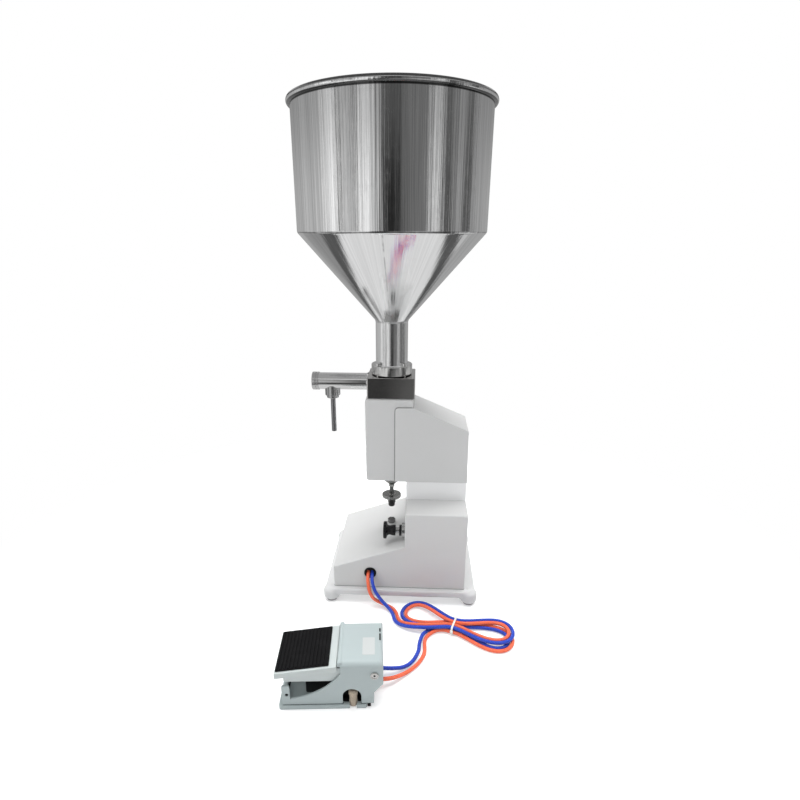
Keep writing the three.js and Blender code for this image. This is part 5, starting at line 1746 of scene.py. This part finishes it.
    def treadle(self) -> Shape:
        """Cuts the treadle: a shallow tray turned upside down, with two side arms."""
        thickness, shell, wall = 12.0, 3.0, 3.0
        tip, rear = self.tip, self.treadle_rear
        front_top, rear_top = self.treadle_top(tip), self.treadle_top(rear)
        corners = [
            (tip, front_top - thickness, 2.0), (rear, rear_top - thickness), (rear, rear_top, 1.5),
            (tip, front_top, 2.5),
        ]
        plate = Shape.sided(corners, 4, self.treadle_half).eased(1.6, 3, 50.0)
        corners = [
            (tip + wall, front_top - thickness - 5.0), (rear - wall, rear_top - thickness - 5.0),
            (rear - wall, rear_top - shell), (tip + wall, front_top - shell),
        ]
        under = Shape.sided(corners, 4, self.treadle_half - wall)
        eye = 10.0
        side = rounded_outline(
            [
                (23.0, 58.0, 3.0), (108.0, 58.0, 8.0), (self.pivot_x - eye / 2, self.pivot_z - eye),
                (self.pivot_x + eye / 2, self.pivot_z - eye),
                (self.pivot_x + eye, self.pivot_z - eye / 2),
                (self.pivot_x + eye, self.pivot_z + eye / 2),
                (self.pivot_x + eye / 2, self.pivot_z + eye), (rear, rear_top - 7.0),
                (rear - wall, rear_top - shell / 2),
                (23.0, self.treadle_top(23.0) - shell / 2),
            ],
            4,
        )
        arms = [
            Shape.drawn(side, min(a, b), max(a, b), Axis.Y) for a, b in ((-52.0, -49.0), (49.0, 52.0))
        ]
        return plate.cut(under).joined(*arms)

    def pad(self) -> Shape:
        """Draws the rubber sheet and its ribs, lying on the treadle."""
        ribs, thick = 14, 2.5
        pitch = self.pad_length / ribs
        foot, crest = pitch * 0.3, pitch * 0.22
        outline = rounded_box((0.0, self.pad_length), (-self.pad_half, self.pad_half), 2.0, 3)
        pad = Shape.drawn(outline, 0.0, thick).eased(0.5, 2, 60.0)
        for i in range(ribs):
            middle = pitch * (i + 0.5)
            corners = [
                (middle - foot, thick - 0.6), (middle + foot, thick - 0.6),
                (middle + crest, thick + 1.6, 0.6), (middle - crest, thick + 1.6, 0.6),
            ]
            pad.plus(Shape.sided(corners, 3, self.pad_half - 2.0).eased(0.4, 2, 60.0))
        return pad.spun(-self.slope, "Y").moved(self.pad_front, 0.0, self.treadle_top(self.pad_front) + 0.3)

    def pin(self) -> Shape:
        """Turns the pivot pin with its dished heads."""
        face = self.half + 0.3
        corners = [
            (0.0, -face - 0.4), (2.0, -face - 0.4), (2.0, -face - 1.5, 0.3),
            (4.6, -face - 1.5, 0.4), (5.4, -face - 2.6, 0.4), (7.6, -face - 2.6, 1.6),
            (7.6, -face, 0.2), (4.0, -face), (4.0, face), (7.6, face, 0.2), (7.6, face + 2.6, 1.6),
            (0.0, face + 2.6),
        ]
        return Shape.lathed(corners, 4, 48).along_y().moved(self.pivot_x, 0.0, self.pivot_z)

    def label(self) -> Shape:
        """Draws the bare label on the hood."""
        outline = rounded_box((164.5, 187.0), (-35.0, 10.0), 1.5, 4)
        return Shape.drawn(outline, self.top - 0.1, self.top + 0.25).eased(0.1, 1)

    def silencer(self) -> Shape:
        """Turns the upright silencer with the stub that joins it to the valve."""
        corners = [
            (0.0, 0.6), (7.2, 0.6, 2.4), (7.4, 25.0, 0.5), (8.4, 26.0, 0.6), (8.4, 33.0, 2.0),
            (5.0, 36.0, 1.0), (0.0, 36.0),
        ]
        x, y = self.silencer_at
        stub = Shape.rod(3.5, y, -30.3, 24).along_y().moved(x, 0.0, 24.5)
        return Shape.lathed(corners, 4, 48).moved(x, y).plus(stub)

    def bumper(self) -> Shape:
        """Draws the small rubber stop at the floor plate's rear corner."""
        return Shape.drawn(rounded_box((172.8, 179.0), (-59.0, -50.0), 1.5, 3), 3.0, 9.0).eased(0.8, 2)

    def arch_shade_panel(self) -> Shape:
        """Draws the black panel on the valve's side, behind the silencer, with its foot: painted shade
        inside the arch.
        """
        upright = Shape.drawn(rounded_box((122.0, 170.5), (9.6, 50.0), 3.0, 3), -41.0, -39.0, Axis.Y)
        foot = Shape.drawn(rounded_box((126.0, 167.0), (-52.5, -40.0), 1.0, 2), 9.6, 11.0)
        notch = Shape.drawn(rounded_box((139.0, 155.0), (-80.0, -42.0), 7.6, 6), 0.0, 20.0)
        return upright.joined(foot.cut(notch))

    def front_hole_shade(self) -> Shape:
        """Turns the black disc set into the hole in the front of the near side: painted shade in the hole.
        """
        corners = [(0.0, 0.8), (2.2, 0.8, 0.4), (3.3, 1.4, 0.4), (3.3, 5.0), (0.0, 5.0)]
        return Shape.lathed(corners, 3, 32).along_y().moved(self.front_hole_x, -self.half, self.front_hole_z)

    def fitting(self, side: float) -> Shape:
        """Makes a push-in fitting: a hexagon and its collet ring.

        Args:
            side: its place across the foot valve.

        Returns:
            The fitting.
        """
        start = 172.3
        end, seat = start + 14.0, start + 12.0
        hexagon = Shape.rod(7.5, start, start + 10.0, 6).eased(0.7, 2)
        base = start + 8.0
        corners = [(0.0, base), (6.0, base), (6.0, end, 0.9), (4.3, end), (4.3, seat), (0.0, seat)]
        collet = Shape.lathed(corners, 3, 32)
        return hexagon.plus(collet).along_x().moved(0.0, side, PORT_HEIGHT)

    def spring(self) -> None:
        """Winds the return spring at rest, on a mesh of its own; the real spring shortens as the treadle is
        pressed.
        """
        low, wire, radius = 40.3, 1.8, 9.5
        top = self.treadle_top(self.plunger_x - radius) - 3.6 - wire
        coil = Shape.coil(radius, wire, 8, low, top).moved(self.plunger_x)
        made = self.piece("return_spring", coil, SPRING_STEEL, replaces=["pedal_return_spring"], crease=70.0)
        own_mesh(made)


@dataclass
class Hoses(Assembly):
    """The two air hoses with their tied hank, each one length from the base to the foot valve."""

    radius: float = 4.0
    pitch: float = 8.7
    lead: float = 8.0
    clear: float = 0.3
    hank_place: Point = (148.0, -222.0)
    hank_turn: float = -17.5
    steps: int = 24
    floor: float = 4.2
    lift: float = 1.6
    layer: float = 8.7
    slot: float = 9.2
    waist: float = 0.26
    fan_share: float = 0.9
    port_rear: float = 186.6
    near_slot: float = -1.42
    length: float = 1.4
    lobes: tuple[tuple[float, ...], ...] = (
        (206, 270, 137, 63, -11.5, 1, -1, 0, 1, 0.05, 0.62),
        (-90, 90, 121, 36, 6, 1, -1, 1, 1, 0, 1), (90, 270, 120, 42, -4.5, 1, 1, 1, 0, 0.1, 0.5),
        (90, -90, 123, 35, -2, 1, near_slot, 0, 0, 0, 1),
    )
    blue_upper: Route = (
        (-38.3, -119, 76.6), (-38.3, -125, 73.8), (-38.3, -131, 71), (-38.3, -135, 69.1),
        (-37.2, -144.2, 62.3), (-30.5, -155, 44.6), (-20.9, -157.7, 29.5), (-12.6, -159.8, 19.1),
        (-1.3, -165.9, 10), (7.7, -175.6, 5.5),
    )
    orange_upper: Route = (
        (-47.7, -119, 76.6), (-47.7, -125, 73.8), (-47.7, -131, 71), (-47.7, -135, 69.1),
        (-46.9, -144.7, 61.5), (-42.1, -155.3, 41.1), (-34, -156.1, 25), (-22.3, -154.2, 14.2),
        (-6.1, -155.4, 7), (6, -161, 4.6), (14.4, -169.6, 4.2),
    )
    blue_lower: Route = (
        (110.2, -226, 5.1), (82.8, -243.4, 4.2), (73.4, -272.2, 4.2), (70.4, -299.9, 4.2),
        (57.3, -330.6, 4.3), (41.3, -347.3, 6.6), (20.7, -359.3, 13.8), (2.4, -363.2, 17),
    )
    orange_lower: Route = (
        (109.2, -235.4, 5.5), (86, -259.4, 4.4), (82.5, -305.9, 4.2), (69.8, -333.8, 4.2),
        (50.7, -357, 5), (35.9, -371.3, 8.4), (19.2, -385.9, 14.9), (4.6, -391.1, 17),
    )

    def build(self) -> None:
        """Builds the tie and both hoses."""
        tie = self.piece("cable_tie", self.tie(), NYLON, replaces=["hank_tie"])
        blue = self.hose("blue", 1, self.blue_upper, self.blue_lower, BLUE_HOSE)
        orange = self.hose("orange", -1, self.orange_upper, self.orange_lower, ORANGE_HOSE)
        self.declare(blue, self.blue_upper[2], [tie])
        self.declare(orange, self.orange_upper[2], [])

    def lobe_point(self, lobe: tuple[float, ...], share: float) -> Vector:
        """Gives the middle of the hose pair at a share of one lobe.

        Args:
            lobe: its angles, reach, opening, fan, slots, layers and the shares of its climb.
            share: from 0 at its start to 1 at its end.

        Returns:
            The point in the hank's own plane.
        """
        start, end, reach, opening, fan, far, near, low, high, climb, climbed = lobe
        angle = math.radians(start + (end - start) * share)
        outward = math.cos(angle)
        spread = math.hypot(outward, self.waist) - self.waist
        layer = low + (high - low) * ease((share - climb) / (climbed - climb))
        point = Vector(
            (
                reach * outward,
                math.sin(angle) * (self.slot * (far - near) / 2 + 2 * opening * spread),
                self.floor + self.lift * math.sin(angle) ** 8 + self.layer * layer,
            )
        )
        turn = math.radians(fan) * ease(abs(outward) / self.fan_share)
        point.rotate(Matrix.Rotation(turn, 3, "Z"))
        point.y += self.slot * (far + near) / 2
        return point

    def hank_line(self, hand: int) -> list[Vector]:
        """Gives one hose's way through the hank.

        Args:
            hand: 1 for the hose on the right of the way it runs, and -1 for the left.

        Returns:
            The points, from the machine's end.
        """
        middle: list[Vector] = []
        for n, lobe in enumerate(self.lobes):
            begin = 0 if n == 0 else 1
            middle += [self.lobe_point(lobe, i / self.steps) for i in range(begin, self.steps + 1)]
        beside: list[Vector] = []
        for i, point in enumerate(middle):
            along = middle[min(i + 1, len(middle) - 1)] - middle[max(i - 1, 0)]
            along.z = 0.0
            along.normalize()
            across = Vector((along.y, -along.x, 0.0)) * hand * self.pitch / 2
            beside.append(point + across)
        first = (beside[0] - beside[1]) * 3 - beside[1] + beside[2]
        first.z = 0.0
        start = beside[0] + first.normalized() * self.lead
        end = beside[-1] - Vector((self.lead, 0.0, 0.0))
        turn = Matrix.Rotation(math.radians(self.hank_turn), 3, "Z")
        place = Vector((*self.hank_place, 0.0))
        return [turn @ point + place for point in (start, *beside, end)]

    def route(self, hand: int, upper: Route, lower: Route, side: float) -> list[Vector]:
        """Joins a hose's stretches into one way.

        Args:
            hand: which hose of the pair.
            upper: points from the base's grommet to the hank.
            lower: points from the hank to the foot valve.
            side: its port's place across the foot valve.

        Returns:
            The points of the whole hose.
        """
        hank = self.hank_line(hand)
        reach = self.clear + self.lead
        before = hank[0] + (hank[0] - hank[1]).normalized() * reach
        after = hank[-1] + (hank[-1] - hank[-2]).normalized() * reach
        turn = Matrix.Rotation(FOOT_VALVE_TURN, 3, "Z")
        mouth = turn @ Vector((self.port_rear, side, PORT_HEIGHT)) + FOOT_VALVE_CORNER
        lead = mouth + turn @ Vector((self.lead, 0.0, 0.0))
        return [*map(Vector, upper), before, *hank, after, *map(Vector, lower), lead, mouth]

    def hose(self, colour: str, hand: int, upper: Route, lower: Route, finish: Finish) -> bpy.types.Object:
        """Makes one hose as a round curve.

        Args:
            colour: its name.
            hand: which hose of the pair.
            upper: points from the base's grommet to the hank.
            lower: points from the hank to the foot valve.
            finish: its finish.

        Returns:
            The hose.
        """
        name = f"air_hose_{colour}"
        line = smooth_line(self.route(hand, upper, lower, PORTS[colour]), 6)
        curve = round_curve(name, [self.place @ point for point in line], self.radius * MM, 6)
        curve.materials.append(self.palette.material(finish))
        made = bpy.data.objects.new(name, curve)
        bpy.context.scene.collection.objects.link(made)
        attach(made, "machine")
        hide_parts(f"hose_{colour}_upper", f"hose_{colour}_hank", f"hose_{colour}_lower")
        LOG.info("%s hose: %.3f m", colour, self.length_of(made))
        return made

    @staticmethod
    def length_of(made: bpy.types.Object) -> float:
        """Gives a hose's length in metres."""
        line = [Vector(point.co[:3]) for point in made.data.splines[0].points]
        return sum((b - a).length for a, b in zip(line, line[1:]))

    def declare(
        self, made: bpy.types.Object, leaves: Sequence[float], pieces: list[bpy.types.Object]
    ) -> None:
        """Takes a hose and does nothing with it.

        Args:
            made: the hose; not used.
            leaves: where it leaves the base; not used.
            pieces: what sits on it; not used.
        """

    def tie(self) -> Shape:
        """Bends the cable tie round the hank's waist, with its head and cut tail."""
        width, thick, clear, corner = 4.0, 1.2, 0.5, 5.0
        beside = self.pitch / 2 + self.radius + clear
        far, near = self.slot + beside, self.near_slot * self.slot - beside
        low = self.floor + self.lift - self.radius - clear
        high = self.floor + self.lift + self.layer + self.radius + clear
        outer = rounded_box((near - thick, far + thick), (low - thick, high + thick), corner, 6)
        inner = rounded_box((near, far), (low, high), corner - thick, 6)
        hole = Shape.drawn(inner, -width, width, Axis.X)
        band = Shape.drawn(outer, -width / 2, width / 2, Axis.X).cut(hole)
        face = near - thick
        head = Shape.box((-3.0, 3.0), (face - 4.0, near - thick / 2), (low + corner, high - corner))
        tail = Shape.box((-1.8, 1.8), (face - 3.2, face - 2.0), (high - corner - 0.5, high - 1.0))
        head.eased(0.6, 2)
        tail.eased(0.3, 2)
        return band.plus(head, tail).spun(self.hank_turn, "Z").moved(*self.hank_place, 0.0)


def ease(value: float) -> float:
    """Runs smoothly from 0 to 1 and is held there."""
    t = min(max(value, 0.0), 1.0)
    return t * t * (3.0 - 2.0 * t)


@dataclass
class CarriedOver:
    """The CAD nodes that keep their own mesh, each with its finish."""

    palette: Palette
    finishes: tuple[tuple[str, Finish], ...] = (
        ("base_bottom_plate", ALUMINIUM), ("flange_gasket", RUBBER), ("outlet_poppet", INNER_STEEL),
        ("inlet_poppet", INNER_STEEL), ("product_cylinder", INNER_STEEL),
        ("product_piston", INNER_STEEL), ("product_piston_seal", SEAL),
        ("air_cylinder_barrel", ALUMINIUM), ("air_cylinder_bottom_cap", ALUMINIUM),
        ("air_cylinder_top_cap", ALUMINIUM), ("air_piston", ALUMINIUM),
        ("pedal_valve_body", BLACK_ANODISED), ("pedal_plunger", INNER_STEEL),
    )

    def dress(self, nodes: dict[str, bpy.types.Object]) -> None:
        """Gives the nodes their materials.

        Args:
            nodes: the CAD nodes by name.
        """
        for name, finish in self.finishes:
            mesh = nodes[name].data
            mesh.materials.clear()
            mesh.materials.append(self.palette.material(finish))
            LOG.info("%s: carried over in %s", name, finish.name)


# Studio


@dataclass
class Studio:
    """The camera, the white floor, the lamps and what polished steel mirrors of the room."""

    camera_place: tuple[float, float, float] = (0.055928, -1.054498, 0.802985)
    camera_pitch: float = 22.0992
    camera_yaw: float = 3.0922
    lens: float = 24.4376
    shift: Point = (0.012484, 0.066898)
    floor_radius: float = 9.0
    room_radius: float = 2.4
    room_height: float = 2.9
    ring_start: float = 0.62
    ring_end: float = 0.94
    near_tone: Colour = (0.76, 0.76, 0.76)
    ring_tone: Colour = (0.1, 0.1, 0.1)
    floor_paper: Colour = (0.82, 0.82, 0.82)
    floor_lift: float = 0.34
    white_from: Point = (0.55, 1.1)
    sky: Colour = (0.97, 0.985, 1.0)
    sky_strength: float = 0.63
    room_bands: tuple[tuple[float, float, float, float], ...] = (
        (0.95, 1.5, 0.45, 0.15), (1.52, 1.66, 1.0, 0.05), (1.78, 1.86, 1.0, 0.8),
        (2.45, 2.55, 1.0, 0.4),
    )
    room_cards: Cards = (
        (-90, 0.55), (-74, 0.55), (-71, 1.0), (-60, 1.0), (-58, 0.14), (-53, 0.18), (-50, 0.6), (-42, 0.62),
        (-39, 0.28), (-33, 0.3), (-31, 1.0), (-20, 0.95), (-18, 0.6), (-12, 0.5), (-9, 0.15), (-5, 0.02),
        (9, 0.02), (13, 0.12), (44, 0.2), (48, 0.72), (55, 0.65), (57, 0.09), (72, 0.1), (75, 0.32),
        (87, 0.3), (90, 0.07), (100, 0.08), (103, 0.36), (244, 0.42), (248, 0.58), (266, 0.42), (270, 0.5),
    )
    floor_cards: Cards = (
        (-90, 0.5), (-64, 0.5), (-60, 0.78), (-24, 0.8), (-19, 0.06), (-4, 0.05), (0, 0.14), (22, 0.2),
        (26, 0.36), (62, 0.34), (65, 0.08), (86, 0.08), (89, 0.66), (124, 0.6), (130, 0.38), (212, 0.38),
        (222, 0.3), (256, 0.24), (262, 0.5), (270, 0.5),
    )

    def set_camera(self) -> None:
        """Places the camera where the photograph was taken."""
        data = bpy.data.cameras.new("camera")
        data.lens = self.lens
        data.shift_x, data.shift_y = self.shift
        data.clip_start, data.clip_end = 0.02, 60.0
        camera = bpy.data.objects.new("camera", data)
        camera.location = self.camera_place
        camera.rotation_euler = (math.radians(90.0 - self.camera_pitch), 0.0, math.radians(self.camera_yaw))
        bpy.context.scene.collection.objects.link(camera)
        bpy.context.scene.camera = camera

    def build(self) -> None:
        """Builds the floor, the room, the lamps and the world."""
        bpy.context.scene.view_settings.view_transform = "Standard"
        self.make_floor()
        self.make_room()
        self.set_world()
        self.lamp("overhead", (-0.1, 0.4, 2.6), (0.0, 0.1, 0.4), 1.8, 92.0)
        self.lamp("front_left", (-1.9, -1.3, 1.5), (0.0, 0.1, 0.5), 1.4, 6.0)
        self.lamp("rear_right", (1.9, 1.0, 1.9), (0.0, 0.1, 0.5), 1.2, 11.0)
        LOG.info("studio built")

    @staticmethod
    def lamp(name: str, place: Sequence[float], aim: Sequence[float], size: float, power: float) -> None:
        """Adds a soft lamp.

        Args:
            name: its name.
            place: where it stands.
            aim: the point that it looks at.
            size: the width of its square.
            power: its power in watts.
        """
        data = bpy.data.lights.new(name, "AREA")
        data.size = size
        data.energy = power
        made = bpy.data.objects.new(name, data)
        made.location = place
        made.rotation_euler = (Vector(aim) - Vector(place)).to_track_quat("-Z", "Y").to_euler()
        made.visible_glossy = False
        bpy.context.scene.collection.objects.link(made)

    @staticmethod
    def seen_plainly(graph: Graph) -> Signal:
        """Gives 1 for rays of the camera, of gloss and of glass."""
        path = graph.node("ShaderNodeLightPath")
        kinds = ("Camera", "Glossy", "Transmission")
        camera, gloss, glass = (Signal(graph, path.outputs[f"Is {kind} Ray"]) for kind in kinds)
        return (camera + gloss + glass).held()

    def set_world(self) -> None:
        """Lights the object evenly from all round, in front of a white background."""
        world = bpy.data.worlds.new("studio")
        world.use_nodes = True
        bpy.context.scene.world = world
        graph = Graph(world.node_tree)
        sky = {"Color": _rgba(self.sky), "Strength": self.sky_strength}
        white = {"Color": (1.0, 1.0, 1.0, 1.0), "Strength": 1.0}
        soft, backdrop = (graph.signal("ShaderNodeBackground", inputs=light) for light in (sky, white))
        mixed = graph.blended(self.seen_plainly(graph), soft, backdrop)
        graph.node("ShaderNodeOutputWorld", inputs={"Surface": mixed})

    @staticmethod
    def staged(name: str, bm: bmesh.types.BMesh, material: bpy.types.Material) -> bpy.types.Object:
        """Stands a surface of the studio round the hopper's axis.

        Args:
            name: its name.
            bm: its mesh, which is freed.
            material: its material.

        Returns:
            The surface.
        """
        mesh = bpy.data.meshes.new(name)
        bm.to_mesh(mesh)
        bm.free()
        mesh.materials.append(material)
        made = bpy.data.objects.new(name, mesh)
        made.location = (*(HOPPER_AXIS * MM)[:2], 0.0)
        bpy.context.scene.collection.objects.link(made)
        return made

    def make_floor(self) -> None:
        """Lays a round white floor that keeps the object's shadow."""
        bm = bmesh.new()
        bmesh.ops.create_circle(bm, cap_ends=True, segments=96, radius=self.floor_radius)
        material = bpy.data.materials.new("floor_white")
        material.use_nodes = True
        graph = Graph(material.node_tree)
        place = graph.coordinates()
        distance = graph.vector("LENGTH", place, output="Value")
        path = graph.node("ShaderNodeLightPath")
        glossy, camera = (Signal(graph, path.outputs[name]) for name in ("Is Glossy Ray", "Is Camera Ray"))
        paper = graph.signal("ShaderNodeBsdfDiffuse", inputs={"Color": _rgba(self.floor_paper)})
        lift = graph.glow((1.0, 1.0, 1.0), self.floor_lift)
        lit = graph.signal("ShaderNodeAddShader", inputs={0: paper, 1: lift})
        seen = graph.blended(distance.raised(*self.white_from), lit, graph.glow((1.0, 1.0, 1.0)))
        ring = distance.raised(self.ring_start, self.ring_start + 0.05)
        beyond = distance.raised(self.ring_end, self.ring_end + 0.04)
        near = graph.mixed(ring, self.near_tone, self.ring_tone)
        tone = graph.mixed(beyond, near, self.card_tone(graph, place, self.floor_cards))
        shown = graph.blended(glossy, graph.blended(camera, paper, seen), graph.glow(tone))
        graph.node("ShaderNodeOutputMaterial", inputs={"Surface": shown})
        self.staged("floor", bm, material)

    def make_room(self) -> None:
        """Stands a ring of light and dark cards round the object, which only gloss can see."""
        bm = bmesh.new()
        bmesh.ops.create_cone(
            bm,
            cap_ends=True,
            segments=128,
            radius1=self.room_radius,
            radius2=self.room_radius,
            depth=self.room_height,
            matrix=Matrix.Translation((0.0, 0.0, self.room_height / 2)),
        )
        foot = [face for face in bm.faces if face.calc_center_median().z < self.room_height / 4]
        bmesh.ops.delete(bm, geom=foot, context="FACES_ONLY")
        material = bpy.data.materials.new("room_cards")
        material.use_nodes = True
        graph = Graph(material.node_tree)
        place = graph.coordinates()
        height = graph.split(place)[2]
        colour = self.card_tone(graph, place, self.room_cards)
        for low, high, share, tone in self.room_bands:
            colour = graph.mixed(height.raised(low, high) * share, colour, (tone, tone, tone))
        graph.node("ShaderNodeOutputMaterial", inputs={"Surface": graph.glow(colour)})
        room = self.staged("room", bm, material)
        room.visible_camera = False
        room.visible_diffuse = False
        room.visible_transmission = False
        room.visible_shadow = False
        room.visible_volume_scatter = False

    @staticmethod
    def card_tone(graph: Graph, place: Signal, cards: Cards) -> Signal:
        """Gives the tone of the card that stands in a place's direction.

        Args:
            graph: the tree.
            place: a place seen from the hopper's axis.
            cards: each card's direction in degrees to the right of the front, with its grey.

        Returns:
            The tone as a colour.
        """
        around = graph.signal("ShaderNodeTexGradient", {"gradient_type": "RADIAL"}, {"Vector": place})
        stops = [(0.25 + degrees / 360.0, (tone, tone, tone)) for degrees, tone in cards]
        return graph.signal("ShaderNodeValToRGB", {"stops": stops}, {"Fac": around})


def main() -> None:
    """Loads the frame, builds every sub-assembly round it, dresses the carried-over nodes and builds the
    studio.
    """
    logging.basicConfig(level=logging.INFO, format="%(name)s: %(message)s")
    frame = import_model()
    palette = Palette()
    studio = Studio()
    studio.set_camera()
    Hoses(palette).build()
    for assembly in (Hopper, ValveHead, Housing, Base, StrokeStop, Regulator, FootValve):
        assembly(palette).build()
    CarriedOver(palette).dress(frame["nodes"])
    studio.build()


if __name__ == "__main__":
    main()
